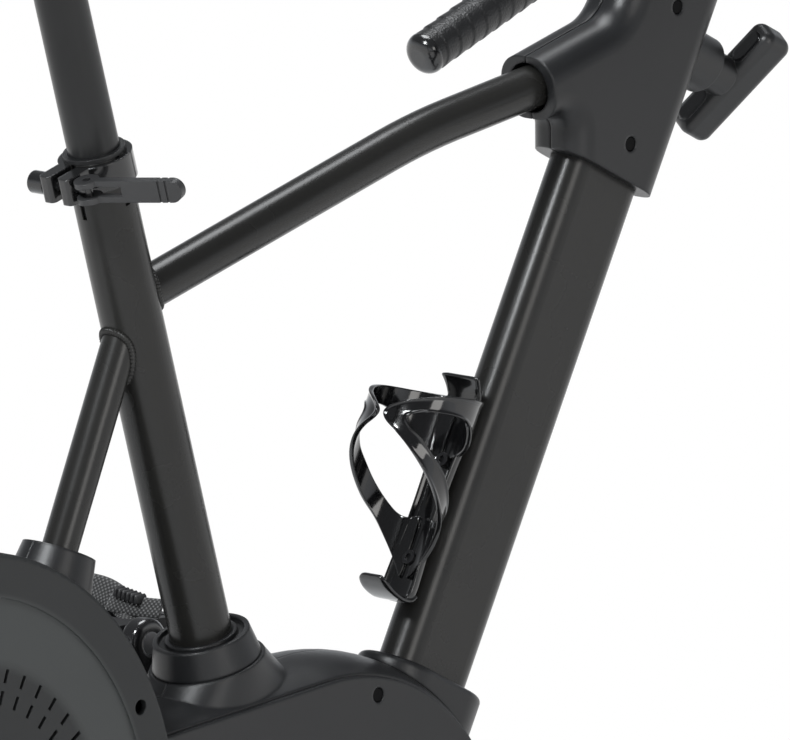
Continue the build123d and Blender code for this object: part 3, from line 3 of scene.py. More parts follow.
import bmesh
import bpy
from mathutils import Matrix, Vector


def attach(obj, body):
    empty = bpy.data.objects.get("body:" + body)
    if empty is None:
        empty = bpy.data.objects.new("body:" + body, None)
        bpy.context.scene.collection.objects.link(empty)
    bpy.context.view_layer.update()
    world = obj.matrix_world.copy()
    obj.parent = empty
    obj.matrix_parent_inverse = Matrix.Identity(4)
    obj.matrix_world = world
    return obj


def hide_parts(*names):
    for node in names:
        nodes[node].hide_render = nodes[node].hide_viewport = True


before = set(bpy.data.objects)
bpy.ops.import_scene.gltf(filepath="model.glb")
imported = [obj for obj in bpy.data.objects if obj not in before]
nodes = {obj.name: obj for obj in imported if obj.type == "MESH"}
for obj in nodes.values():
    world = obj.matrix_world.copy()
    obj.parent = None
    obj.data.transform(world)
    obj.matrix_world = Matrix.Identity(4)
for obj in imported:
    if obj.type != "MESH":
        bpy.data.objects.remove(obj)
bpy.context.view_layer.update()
scene = bpy.context.scene


# Mesh helpers
def new_mesh(name, verts, faces, uvs=None):
    """Smooth mesh object. uvs gives one pair per vertex."""
    mesh = bpy.data.meshes.new(name)
    mesh.from_pydata([tuple(v) for v in verts], [], faces)
    mesh.update()
    if uvs:
        layer = mesh.uv_layers.new(name="cloth")
        for loop in mesh.loops:
            layer.data[loop.index].uv = uvs[loop.vertex_index]
    bm = bmesh.new()
    bm.from_mesh(mesh)
    bmesh.ops.recalc_face_normals(bm, faces=bm.faces)
    bm.to_mesh(mesh)
    bm.free()
    for face in mesh.polygons:
        face.use_smooth = True
    obj = bpy.data.objects.new(name, mesh)
    scene.collection.objects.link(obj)
    return obj


def grid_faces(rows, columns):
    """Quads between rows of points, with the last column joined to the first."""
    faces = []
    for i in range(rows - 1):
        here, after = i * columns, (i + 1) * columns
        for j in range(columns):
            k = (j + 1) % columns
            faces.append((here + j, here + k, after + k, after + j))
    return faces


def gather(verts, faces, rows):
    """Adds a closed skin over rows of points, capped at both ends, to the lists of a mesh."""
    base, count, columns = len(verts), len(rows), len(rows[0])
    skin = grid_faces(count, columns)
    skin.append(tuple(range(columns)))
    skin.append(tuple(range((count - 1) * columns, count * columns)))
    faces.extend(tuple(base + v for v in face) for face in skin)
    for row in rows:
        verts.extend(row)


def skinned(name, rows, uvs=None):
    """Mesh object of one closed skin over rows of points."""
    verts, faces = [], []
    gather(verts, faces, rows)
    return new_mesh(name, verts, faces, uvs)


def place(obj, mat, body):
    """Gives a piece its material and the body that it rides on."""
    obj.data.materials.append(mat)
    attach(obj, body)


def subdivide(obj, name):
    """Smooths a mesh by one level of subdivision."""
    modifier = obj.modifiers.new(name, "SUBSURF")
    modifier.levels = modifier.render_levels = 1


def turns(count):
    """Angles of equal steps round a circle."""
    return [2 * math.pi * j / count for j in range(count)]


def catmull(points, count):
    """Smooth line through points, with count steps between each two."""
    points = [Vector(p) for p in points]
    ends = [2 * points[0] - points[1]] + points + [2 * points[-1] - points[-2]]
    line = []
    for a, b, c, d in zip(ends, ends[1:], ends[2:], ends[3:]):
        for i in range(count):
            t = i / count
            line.append(0.5 * (2 * b + (c - a) * t + (2 * a - 5 * b + 4 * c - d) * t * t
                               + (3 * b - a - 3 * c + d) * t ** 3))
    line.append(points[-1])
    return line


def even(line, step):
    """The same line with points a step apart."""
    shortest = 1e-9
    out = [line[0]]
    need = step
    for a, b in zip(line, line[1:]):
        run = (b - a).length
        while run > shortest and need <= run:
            out.append(a.lerp(b, need / run))
            need += step
        need -= run
    return out


def along(line, i):
    """The way a line runs at point i, from the point before to the point after."""
    return line[min(i + 1, len(line) - 1)] - line[max(i - 1, 0)]


def frames(line, side):
    """Tangent and two cross directions at each point of a line, turned as little as possible."""
    out = []
    across = Vector(side)
    for i in range(len(line)):
        way = along(line, i).normalized()
        across = (across - way * across.dot(way)).normalized()
        out.append((way, across, way.cross(across)))
    return out


def tube(name, line, side, radius, around):
    """Round tube along a line. radius is a function of the row and of the angle round it."""
    rows = []
    for i, (point, (_, a, b)) in enumerate(zip(line, frames(line, side))):
        rows.append([
            point + (a * math.cos(turn) + b * math.sin(turn)) * radius(i, turn)
            for turn in turns(around)
        ])
    return skinned(name, rows)


def ribbon(name, line, lean, width, thick):
    """Flat strap along a line with rounded edges. lean gives the angle of its width from +X at a point."""
    columns, squareness, edge_share = 9, 8, 0.08
    rows, uvs = [], []
    run = 0.0
    for i, (point, (way, _, _)) in enumerate(zip(line, frames(line, (1, 0, 0)))):
        if i:
            run += (point - line[i - 1]).length
        across = Vector((math.cos(lean(point)), 0, math.sin(lean(point))))
        across = (across - way * across.dot(way)).normalized()
        up = way.cross(across)
        row = []
        for face in (1, -1):
            for j in range(columns)[::face]:
                t = 2 * j / (columns - 1) - 1
                h = thick / 2 * math.sqrt(max(0.0, 1 - abs(t) ** squareness)) + thick * edge_share
                row.append(point + across * (t * width / 2) + up * (face * h))
                uvs.append((run, (t + 1) * width / 2))
        rows.append(row)
    return skinned(name, rows, uvs)


# Shader helpers
def link(tree, a, out, b, into):
    """Joins an output of one node to an input of another."""
    tree.links.new(a.outputs[out], b.inputs[into])


def set_inputs(node, values):
    """Sets a node's inputs to plain values."""
    for key, value in values.items():
        node.inputs[key].default_value = value


def new_material(name):
    """Material with its node tree and its principled shader."""
    mat = bpy.data.materials.new(name)
    mat.use_nodes = True
    return mat, mat.node_tree, mat.node_tree.nodes["Principled BSDF"]


def calc(tree, operation, a, b=None):
    """Math node fed by one or two other nodes, each given with the name of its output."""
    made = tree.nodes.new("ShaderNodeMath")
    made.operation = operation
    link(tree, *a, made, 0)
    if b:
        link(tree, *b, made, 1)
    return made


def smooth_range(tree, source, out, values):
    """Map Range node with a smooth step, fed by another node's output."""
    made = tree.nodes.new("ShaderNodeMapRange")
    made.interpolation_type = "SMOOTHSTEP"
    set_inputs(made, values)
    link(tree, source, out, made, "Value")
    return made


def colour_ramp(tree, stops, interpolation="LINEAR"):
    """Colour ramp through stops, each a position and a colour."""
    made = tree.nodes.new("ShaderNodeValToRGB")
    made.color_ramp.interpolation = interpolation
    points = made.color_ramp.elements
    for point, (position, colour) in zip(points, (stops[0], stops[-1])):
        point.position = position
        point.color = (*colour, 1)
    for position, colour in stops[1:-1]:
        points.new(position).color = (*colour, 1)
    return made


def surface(name, colour, rough, metallic=0.0, vary=0.12, grain=1500.0, depth=0.02, edge=0.0008,
            rough_vary=0.05, coat=0.0, coat_rough=0.1, sheen=0.0, cells=0.0, shine=0.5):
    """Shader with slow colour drift, patchy roughness, a fine grain or cells, and softly rounded edges."""
    drift_scale, drift_detail, drift_low, drift_high = 14.0, 6.0, 0.2, 0.8
    grain_detail, grain_height, edge_samples = 2.0, 0.001, 6
    mat, tree, shader = new_material(name)
    set_inputs(shader, {
        "Metallic": metallic,
        "Specular IOR Level": shine,
        "Coat Weight": coat,
        "Coat Roughness": coat_rough,
        "Sheen Weight": sheen,
    })
    coord = tree.nodes.new("ShaderNodeTexCoord")

    drift = tree.nodes.new("ShaderNodeTexNoise")
    set_inputs(drift, {"Scale": drift_scale, "Detail": drift_detail})
    link(tree, coord, "Object", drift, "Vector")
    darker = [c * (1 - vary) for c in colour]
    lighter = [c * (1 + vary) for c in colour]
    tint = colour_ramp(tree, ((drift_low, darker), (drift_high, lighter)), "EASE")
    link(tree, drift, "Fac", tint, "Fac")
    link(tree, tint, "Color", shader, "Base Color")
    level = smooth_range(tree, drift, "Fac", {
        "From Min": drift_low,
        "From Max": drift_high,
        "To Min": rough - rough_vary,
        "To Max": rough + rough_vary,
    })
    link(tree, level, "Result", shader, "Roughness")

    if cells:
        fine = tree.nodes.new("ShaderNodeTexVoronoi")
        fine.feature = "SMOOTH_F1"
        set_inputs(fine, {"Scale": cells})
        height = "Distance"
    else:
        fine = tree.nodes.new("ShaderNodeTexNoise")
        set_inputs(fine, {"Scale": grain, "Detail": grain_detail})
        height = "Fac"
    link(tree, coord, "Object", fine, "Vector")
    bump = tree.nodes.new("ShaderNodeBump")
    set_inputs(bump, {"Strength": depth, "Distance": grain_height})
    link(tree, fine, height, bump, "Height")
    if edge:
        bevel = tree.nodes.new("ShaderNodeBevel")
        bevel.samples = edge_samples
        set_inputs(bevel, {"Radius": edge})
        link(tree, bevel, "Normal", bump, "Normal")
    link(tree, bump, "Normal", shader, "Normal")
    return mat


def woven(name, dark, light, pitch, rough):
    """Webbing: yarns that cross over and under each other, drawn in the strap's own UVs."""
    sheen, dark_stop, light_stop, strength, yarn_height = 0.25, 0.45, 0.95, 0.6, 0.0006
    mat, tree, shader = new_material(name)
    set_inputs(shader, {"Roughness": rough, "Sheen Weight": sheen})
    coord = tree.nodes.new("ShaderNodeTexCoord")
    split = tree.nodes.new("ShaderNodeSeparateXYZ")
    link(tree, coord, "UV", split, "Vector")
    waves = []
    for axis in ("X", "Y"):
        scaled = calc(tree, "MULTIPLY", (split, axis))
        set_inputs(scaled, {1: 2 * math.pi / pitch})
        waves.append(calc(tree, "SINE", (scaled, "Value")))
    cross = calc(tree, "MULTIPLY", (waves[0], "Value"), (waves[1], "Value"))
    height = tree.nodes.new("ShaderNodeMapRange")
    set_inputs(height, {"From Min": -1.0, "From Max": 1.0})
    link(tree, cross, "Value", height, "Value")
    tint = colour_ramp(tree, ((dark_stop, dark), (light_stop, light)))
    link(tree, height, "Result", tint, "Fac")
    link(tree, tint, "Color", shader, "Base Color")
    bump = tree.nodes.new("ShaderNodeBump")
    set_inputs(bump, {"Strength": strength, "Distance": yarn_height})
    link(tree, height, "Result", bump, "Height")
    link(tree, bump, "Normal", shader, "Normal")
    return mat


def dress(mat, *names):
    """Gives CAD nodes their material."""
    for name in names:
        obj = nodes[name]
        obj.data.materials.clear()
        obj.data.materials.append(mat)


# Camera at the photograph's angle, far away with a long lens
camera_target = Vector((0.0833, 0.0009, 0.6125))
camera_azimuth, camera_elevation = math.radians(-46.0), math.radians(10.0)
camera_distance, picture_width, sensor_width, camera_clip = 16.0, 0.4817, 36.0, 200.0
back = Vector((
    math.sin(camera_azimuth) * math.cos(camera_elevation),
    -math.cos(camera_azimuth) * math.cos(camera_elevation),
    math.sin(camera_elevation),
))
camera = bpy.data.objects.new("camera", bpy.data.cameras.new("camera"))
scene.collection.objects.link(camera)
camera.data.sensor_width = sensor_width
camera.data.lens = sensor_width * camera_distance / picture_width
camera.data.clip_end = camera_clip
camera.location = camera_target + back * camera_distance
camera.rotation_mode = "QUATERNION"
camera.rotation_quaternion = (-back).to_track_quat("-Z", "Y")
scene.camera = camera

# Materials: name, colour and roughness, then what differs from the usual finish
coat_black = surface(
    "satin_black_coat", (0.0150, 0.0146, 0.0136), 0.27,
    grain=1400, depth=0.05, vary=0.08, shine=0.36, rough_vary=0.02)
post_black = surface(
    "satin_black_post", (0.0150, 0.0153, 0.0158), 0.30,
    grain=1600, depth=0.05, vary=0.06, shine=0.36, rough_vary=0.02)
charcoal = surface(
    "charcoal_plastic", (0.0112, 0.0115, 0.0124), 0.34,
    grain=2600, depth=0.10, vary=0.07, edge=0.0028, shine=0.40)
disc_grey = surface(
    "disc_plastic", (0.0215, 0.0225, 0.0228), 0.50,
    grain=2600, depth=0.10, vary=0.05, edge=0.0012, shine=0.33)
gloss = surface(
    "gloss_black", (0.0045, 0.0045, 0.0050), 0.11,
    grain=400, depth=0.012, vary=0.10, rough_vary=0.03, coat=0.4, coat_rough=0.05, edge=0.0010)
inlay_gloss = surface(
    "inlay_black", (0.0045, 0.0045, 0.0050), 0.09,
    grain=400, depth=0.01, vary=0.10, rough_vary=0.02, coat=0.8, coat_rough=0.05, edge=0.0030)
handle_grey = surface(
    "handle_plastic", (0.0150, 0.0153, 0.0160), 0.36,
    grain=2600, depth=0.10, vary=0.06)
alloy = surface(
    "black_alloy", (0.016, 0.016, 0.017), 0.30,
    metallic=0.3, grain=1800, depth=0.04, edge=0.0006)
crank_gloss = surface(
    "crank_black", (0.007, 0.007, 0.0075), 0.16,
    grain=900, depth=0.02, coat=0.7, coat_rough=0.08, edge=0.0030)
oxide = surface(
    "black_oxide_steel", (0.045, 0.045, 0.047), 0.32,
    metallic=0.8, grain=2400, depth=0.05, edge=0.0004)
axle_steel = surface(
    "axle_steel", (0.20, 0.20, 0.205), 0.30,
    metallic=0.9, grain=2400, depth=0.04, edge=0.0008)
steel = surface(
    "ground_steel", (0.50, 0.50, 0.51), 0.28,
    metallic=1.0, grain=2200, depth=0.04)
iron = surface(
    "turned_iron", (0.20, 0.20, 0.21), 0.42,
    metallic=0.9, grain=900, depth=0.05)
bracket = surface(
    "plain_alloy", (0.42, 0.42, 0.43), 0.38,
    metallic=0.9, grain=1500, depth=0.05)
wrap = surface(
    "grip_tape", (0.0105, 0.0105, 0.0110), 0.37,
    cells=900, depth=0.35, vary=0.2, edge=0.0)
cover = surface(
    "saddle_cover", (0.014, 0.014, 0.015), 0.46,
    cells=620, depth=0.25, vary=0.15, sheen=0.06, edge=0.0)
thread = surface(
    "cover_thread", (0.030, 0.030, 0.032), 0.6,
    grain=4000, depth=0.3, edge=0.0)
moulded = surface(
    "pedal_plastic", (0.015, 0.015, 0.016), 0.46,
    grain=1900, depth=0.12, edge=0.001)
webbing = woven(
    "strap_webbing", dark=(0.006, 0.006, 0.0065), light=(0.12, 0.12, 0.12), pitch=0.0031, rough=0.75)
rubber = surface(
    "foot_rubber", (0.016, 0.016, 0.017), 0.62,
    grain=2000, depth=0.18, edge=0.0015)
lever_grey = surface(
    "lever_plastic", (0.0300, 0.0300, 0.0310), 0.38,
    grain=2200, depth=0.08, vary=0.06, edge=0.0010)
# Cover screws: black screw heads, made near-black and almost shineless as painted shade that stands in for
# the shade inside their recesses
screw_painted_shade = surface(
    "recessed_screw_painted_shade", (0.0014, 0.0014, 0.0016), 0.50,
    grain=1500, depth=0.05, edge=0.0, shine=0.08)
clamp_gloss = surface(
    "clamp_black", (0.010, 0.010, 0.0105), 0.17,
    metallic=0.2, grain=1200, depth=0.02, coat=0.6, coat_rough=0.08, edge=0.0018)


def paint_ring_light(mat):
    """Paints the cone ring of each disc cover lighter than its rim and its middle: painted light standing in
    for the light that the ring's tilted face catches.
    """
    disc_centre = (-0.340, 0.0, 0.372)
    ring_start, ring_full, ring_last, ring_end = 0.1205, 0.1215, 0.1600, 0.1612
    # Base colour of the painted light on the ring
    painted_ring_light_colour = (0.0520, 0.0550, 0.0545, 1)
    outside, inside = (0, 0, 0), (1, 1, 1)
    mix_factor, mix_plain, mix_other, mix_result = 0, 6, 7, 2
    tree = mat.node_tree
    shader = tree.nodes["Principled BSDF"]
    coord = tree.nodes.new("ShaderNodeTexCoord")
    split = tree.nodes.new("ShaderNodeSeparateXYZ")
    link(tree, coord, "Object", split, "Vector")
    flat = tree.nodes.new("ShaderNodeCombineXYZ")
    link(tree, split, "X", flat, "X")
    link(tree, split, "Z", flat, "Z")
    reach = tree.nodes.new("ShaderNodeVectorMath")
    reach.operation = "DISTANCE"
    set_inputs(reach, {1: disc_centre})
    link(tree, flat, "Vector", reach, 0)
    zone = colour_ramp(tree, (
        (ring_start, outside), (ring_full, inside), (ring_last, inside), (ring_end, outside),
    ))
    link(tree, reach, "Value", zone, "Fac")
    mix = tree.nodes.new("ShaderNodeMix")
    mix.data_type = "RGBA"
    set_inputs(mix, {mix_other: painted_ring_light_colour})
    plain_colour = shader.inputs["Base Color"].links[0].from_socket
    tree.links.new(plain_colour, mix.inputs[mix_plain])
    link(tree, zone, "Color", mix, mix_factor)
    link(tree, mix, mix_result, shader, "Base Color")


# Painted light on the cone ring of each disc cover
paint_ring_light(disc_grey)

dress(coat_black, "seat_tube", "top_tube", "rear_stay", "front_post", "bb_bracket", "rear_hub", "rear_leg",
      "stabilizers", "base_beam")
dress(post_black, "seat_post", "handlebar_post")
dress(charcoal, "housing_right", "housing_left", "side_panels", "seat_tube_collar", "post_collar",
      "head_shroud_right", "head_shroud_left")
dress(disc_grey, "disc_covers")
dress(gloss, "bottle_cage")
dress(inlay_gloss, "clamp_handle_inlays")
dress(handle_grey, "clamp_boss", "clamp_handle", "post_bushings", "saddle_shell")
dress(lever_grey, "seat_clamp_lever")
dress(alloy, "stem", "stem_faceplate", "drop_bar", "drive_pulley", "saddle_clamp_base", "saddle_clamp_cap")
dress(crank_gloss, "crank_right", "crank_left", "bar_end_plugs")
dress(clamp_gloss, "seat_clamp_band", "seat_clamp_bolt")
dress(screw_painted_shade, "cover_screws")
dress(oxide, "cage_bolts", "stem_bolts", "saddle_rails")
dress(axle_steel, "pedal_axles")
dress(steel, "drive_bearings", "pulley_shaft")
dress(iron, "flywheel")
dress(bracket, "eddy_brake")
dress(moulded, "pedal_left", "pedal_right")
dress(rubber, "drive_belt", "foot_caps", "transport_wheel_left", "transport_wheel_right")

# Grip tape wound round each side of the drop bar, from its lower end towards the stem
bar_end_x, bar_end_z = 0.3176, 0.7584
bar_front_x, bar_front_z = 0.490, 0.898
bar_top_x, bar_top_z = 0.390, 0.900
bar_half, tape_inner, bar_bend = 0.200, 0.078, 0.041
grip_rise = (bar_front_x - bar_end_x) * math.tan(math.radians(21.0))
tape_step, tape_pitch, tape_around = 0.0007, 0.0125, 72
tape_core, tape_lap, tape_band = 0.01295, 0.00075, 0.014
lap_share, lap_power = 0.93, 0.8


def rounded(corners, radius):
    """Line through the corners of the bar, each turned on an arc."""
    steps = 40
    corners = [Vector(c) for c in corners]
    line = [corners[0]]
    for a, b, c in zip(corners, corners[1:], corners[2:]):
        inward, outward = (b - a).normalized(), (c - b).normalized()
        turn = inward.angle(outward)
        side = (outward - inward * inward.dot(outward)).normalized()
        start = b - inward * radius * math.tan(turn / 2)
        centre = start + side * radius
        for i in range(steps + 1):
            angle = turn * i / steps
            line.append(centre + (inward * math.sin(angle) - side * math.cos(angle)) * radius)
    line.append(corners[-1])
    return line


def wind_tape(side, name):
    """Tape on one side of the bar: laps that fall away from a sharp edge, and a plain finishing band."""
    y = side * bar_half
    route = rounded([
        (bar_end_x, y, bar_end_z),
        (bar_front_x, y, bar_end_z + grip_rise),
        (bar_front_x, y, bar_front_z),
        (bar_top_x, y, bar_top_z),
        (bar_top_x, side * tape_inner, bar_top_z),
    ], bar_bend)
    line = even(route, tape_step)
    finish = len(line) - int(tape_band / tape_step)

    def lap(row, turn):
        if row >= finish:
            return tape_core + tape_lap
        phase = (row * tape_step / tape_pitch + side * turn / (2 * math.pi)) % 1.0
        if phase < lap_share:
            height = 1 - phase / lap_share
        else:
            height = (phase - lap_share) / (1 - lap_share)
        return tape_core + tape_lap * height ** lap_power

    piece = tube(f"grip_tape_{name}", line, (0, 1, 0), lap, tape_around)
    place(piece, wrap, "handlebar")
    return piece


right_tape = wind_tape(-1, "right")
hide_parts("bar_tape")
wind_tape(1, "left")

# Saddle cover: the pad's stations in millimetres along it, with its width and height there
saddle_x, saddle_z, cover_lift = -0.2205, 0.9716, 0.0004
pad_stations = (
    (-152, 64, 15), (-143, 112, 29), (-95, 146, 38), (-30, 102, 35),
    (40, 60, 32), (108, 46, 30), (134, 34, 24), (141, 18, 13),
)
# Half of the pad's section from the middle of its foot round to the middle of its top,
# in shares of its half width and its height
pad_section = (
    (0.0, 0.0), (0.45, 0.0), (0.86, 0.01), (0.985, 0.18), (1.0, 0.36),
    (0.92, 0.62), (0.66, 0.88), (0.28, 1.0), (0.10, 0.90), (0.0, 0.86),
)
piping_height, piping_radius, piping_step, piping_around = 0.36, 0.0013, 0.002, 10
sized = catmull([(x / 1000, w / 1000, h / 1000) for x, w, h in pad_stations], count=14)

pad_rows = []
for x, w, h in sized:
    section = catmull([(a * (w / 2), b * h, 0) for a, b in pad_section], count=5)
    ring = section + [Vector((-p.x, p.y, 0)) for p in reversed(section[1:-1])]
    pad_rows.append([(saddle_x + x, p.x, saddle_z + cover_lift + p.y) for p in ring])
pad = skinned("saddle_cover_pad", pad_rows)
subdivide(pad, "smooth")
place(pad, cover, "saddle")
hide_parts("saddle_pad")

left = [Vector((saddle_x + x, w / 2 + cover_lift, saddle_z + piping_height * h)) for x, w, h in sized]
right = [Vector((p.x, -p.y, p.z)) for p in left]
piping_line = even(right[::-1] + left, piping_step)
piping = tube("saddle_piping", piping_line, (0, 0, 1), lambda row, turn: piping_radius, piping_around)
place(piping, cover, "saddle")

# Stitching: a row of short threads on each side of the saddle's channel
seam_share, seam_margin, stitch_pitch = 0.30, 10, 0.0045
stitch_start, stitch_run, stitch_radius, stitch_lift = 0.1, 0.66, 0.00055, 0.0001
taper_start, taper_run = 0.12, 0.76
stitch_rows, stitch_around = 5, 6


def stitch(a, b):
    """Rows of points of one thread between two points of the seam, thinner at its ends."""
    way = (b - a).normalized()
    across = Vector((0, 1, 0))
    up = way.cross(across).normalized()
    if up.z < 0:
        up = -up
    rows = []
    for i in range(stitch_rows):
        t = i / (stitch_rows - 1)
        swell = math.sin(math.pi * (taper_start + taper_run * t)) * stitch_radius
        point = a.lerp(b, stitch_start + stitch_run * t)
        rows.append([
            point + across * math.cos(turn) * swell + up * (math.sin(turn) * swell + stitch_lift)
            for turn in turns(stitch_around)
        ])
    return rows


verts, faces = [], []
for side in (-1, 1):
    seam = even([
        Vector((saddle_x + x, side * seam_share * w / 2, saddle_z + h))
        for x, w, h in sized[seam_margin:-seam_margin]
    ], stitch_pitch)
    for a, b in zip(seam, seam[1:]):
        gather(verts, faces, stitch(a, b))
stitches = new_mesh("saddle_stitching", verts, faces)
place(stitches, thread, "saddle")

# Toe straps: webbing looped over the pedal and flopped on its edge, a toothed buckle and a loose tail.
# Their points are metres forward of the strap's line, out from the bike's middle and up from the pedal's top
strap_lean = math.radians(62)
strap_forward, pedal_half, strap_step = 0.022, 0.009, 0.0015
lean_below, lean_run = 0.004, 0.012
loop_width, loop_thick, tail_width, tail_thick = 0.0175, 0.0018, 0.0125, 0.0016
loop_points = (
    (0, 0.165, -0.0145), (0, 0.165, -0.006), (0, 0.1635, 0.003), (0, 0.155, 0.0105),
    (0.001, 0.140, 0.0130), (0.002, 0.122, 0.0122), (0.002, 0.109, 0.0085), (0.001, 0.097, 0.0030),
    (0, 0.0875, -0.0050), (0, 0.0850, -0.0145),
)
tail_points = (
    (-0.0005, 0.113, 0.0072), (-0.0010, 0.104, 0.0066), (0.0008, 0.090, 0.0062), (0.0042, 0.0728, 0.0065),
)
tooth_count, tooth_first, tooth_pitch = 6, 0.0885, 0.0035
tooth_lift, tooth_climb, tooth_behind, tooth_ahead = 0.0108, 0.0005, 0.0030, 0.0060
tooth_profile = ((-0.0014, -0.0024), (-0.0010, 0.0018), (0.0006, 0.0032), (0.0018, -0.0024))
tooth_round, tooth_segments = 0.0003, 2


def strap(side, name, eye_x, eye_z):
    """Webbing loop and tail of one pedal, whose axle is at eye_x and eye_z."""
    x, top = eye_x + strap_forward, eye_z + pedal_half

    def lean(point):
        rise = min(1.0, max(0.0, (point.z - top + lean_below) / lean_run))
        return strap_lean * rise * rise * (3 - 2 * rise)

    def line(points):
        spread = [(x + dx, side * y, top + dz) for dx, y, dz in points]
        return even(catmull(spread, count=8), strap_step)

    band = ribbon(f"toe_webbing_{name}", line(loop_points), lean, loop_width, loop_thick)
    place(band, webbing, f"pedal_set_{name}")
    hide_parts(f"toe_strap_{name}")
    end = ribbon(f"toe_tail_{name}", line(tail_points), lambda point: strap_lean, tail_width, tail_thick)
    place(end, webbing, f"pedal_set_{name}")


def toothed_buckle(side, name, eye_x, eye_z):
    """Ridges of one pedal's buckle, beside each other on the webbing."""
    x, top = eye_x + strap_forward, eye_z + pedal_half
    verts, faces = [], []
    for tooth in range(tooth_count):
        y = side * (tooth_first + tooth_pitch * tooth)
        lift = top + tooth_lift + tooth_climb * tooth
        base = len(verts)
        for dy, dz in tooth_profile:
            verts.append((x - tooth_behind, y + side * dy, lift + dz))
            verts.append((x + tooth_ahead, y + side * dy, lift + dz))
        for face in ((0, 1, 3, 2), (2, 3, 5, 4), (4, 5, 7, 6), (0, 2, 4, 6), (1, 3, 5, 7), (0, 1, 7, 6)):
            faces.append(tuple(base + v for v in face))
    buckle = new_mesh(f"toe_buckle_{name}", verts, faces)
    round_edges = buckle.modifiers.new("round", "BEVEL")
    round_edges.width, round_edges.segments = tooth_round, tooth_segments
    place(buckle, moulded, f"pedal_set_{name}")


for pedal in ((1, "left", -0.07284, 0.45692), (-1, "right", 0.07284, 0.14308)):
    strap(*pedal)
    toothed_buckle(*pedal)

# Weld beads where the top tube and the rear stay meet the seat tube
seat_foot, seat_way, seat_radius = Vector((-0.087, 0, 0.472)), Vector((-0.28402, 0, 0.95882)), 0.01925
weld_steps, weld_around = 240, 10
ripple_depth, ripple_steps = 0.10, 2.5


def weld(name, point, way, radius, bead):
    """Rippled bead where a tube, given by a point, its way and its radius, meets the seat tube."""
    seat = seat_way.normalized()
    point, way = Vector(point), Vector(way).normalized()
    first = Vector((0, 1, 0))
    second = way.cross(first).normalized()
    line, outward = [], []
    for turn in turns(weld_steps):
        spoke = first * math.cos(turn) + second * math.sin(turn)
        start = point + spoke * radius
        off = start - seat_foot
        off -= seat * off.dot(seat)
        run = way - seat * way.dot(seat)
        a, b, c = run.dot(run), 2 * off.dot(run), off.dot(off) - seat_radius ** 2
        line.append(start + way * ((-b + math.sqrt(max(0.0, b * b - 4 * a * c))) / (2 * a)))
        outward.append(spoke)
    verts = []
    for i in range(weld_steps):
        tangent = (line[(i + 1) % weld_steps] - line[i - 1]).normalized()
        a = (outward[i] - tangent * outward[i].dot(tangent)).normalized()
        b = tangent.cross(a)
        thick = bead * (1 + ripple_depth * math.sin(i * math.pi / ripple_steps))
        verts += [line[i] + (a * math.cos(turn) + b * math.sin(turn)) * thick for turn in turns(weld_around)]
    faces = [tuple(v % len(verts) for v in face) for face in grid_faces(weld_steps + 1, weld_around)]
    place(new_mesh(name, verts, faces), coat_black, "frame")


weld("weld_top_tube", (-0.15005, 0, 0.68486), (0.9614, 0, 0.2752), radius=0.0135, bead=0.0022)
weld("weld_rear_stay", (-0.14821, 0, 0.67863), (-0.3987, 0, -0.9171), radius=0.01125, bead=0.0024)

# Bottle cage, in millimetres: a channelled spine on the post, two arms that loop from its foot round the
# bottle to its head, a plate at each end and a boss behind each bolt. The arms' edges are degrees round
# the bottle and heights up the post
post_foot_x, post_foot_z, post_cos, post_sin = 117, 444, 0.88701, 0.46175
bottle_line, grip_radius, arm_half = -75.0, 33.0, 1.15
rim_lift, rim_middle, rim_width = 0.9, 0.05, 0.06
outer_edge = (
    (176, 20), (158, 33), (141, 44), (125, 53.5), (106, 61.5), (87, 70.5), (66, 80), (41, 90.5), (24, 97),
    (10, 102), (4.5, 106.5), (8, 110.5), (22, 116), (40, 121), (60, 126.3), (84, 130.8), (112, 134.6),
    (145, 138), (176, 140),
)
inner_edge = (
    (176, 62), (160, 59.5), (147, 60.5), (131, 66), (112, 74), (92, 83), (72, 90), (52, 98), (41, 101),
    (35, 104), (33, 106.5), (34.5, 109.3), (44, 112.8), (62, 115.8), (82, 118.3), (100, 118.6),
    (117, 113.5), (138, 106), (176, 99),
)
arm_shares = (0.0, 0.03, 0.08, 0.14, 0.22, 0.4, 0.6, 0.78, 0.86, 0.92, 0.97, 1.0)
spine_stations = ((7, 11), (14, 13.5), (30, 13), (60, 11), (95, 11.5), (120, 14.5), (136, 13.5), (147, 10.5))
spine_back, spine_wall, spine_rim = -37, -44.6, -45.6
spine_lip, spine_floor, spine_middle = -45.4, -41.4, -41.2
rim_in, lip_in, floor_in = 0.9, 2.2, 3.2
plate_shares, plate_edge = (-1.0, -0.94, -0.6, 0.0, 0.6, 0.94, 1.0), 0.35
head_plate = ((-40, 133, 13), (-42.5, 139, 13.5), (-47, 145.5, 14.5), (-53, 151, 16))
foot_plate = (
    (-38.5, 13, 13.5), (-42, 8.6, 13.5), (-50, 7.0, 13.5), (-60, 8.6, 13), (-67, 12, 11.5), (-69.5, 14.5, 8),
)
head_thick, foot_thick = 2.6, 2.8
boss_heights, boss_ends, boss_radius, boss_around = (35, 99), (-33.9, -37.4), 7.0, 24


def on_post(a, y, h):
    """Point in metres from millimetres forward of the post's line, to its left and up along it."""
    x = post_foot_x + post_cos * a + post_sin * h
    z = post_foot_z - post_sin * a + post_cos * h
    return Vector((x, y, z)) / 1000


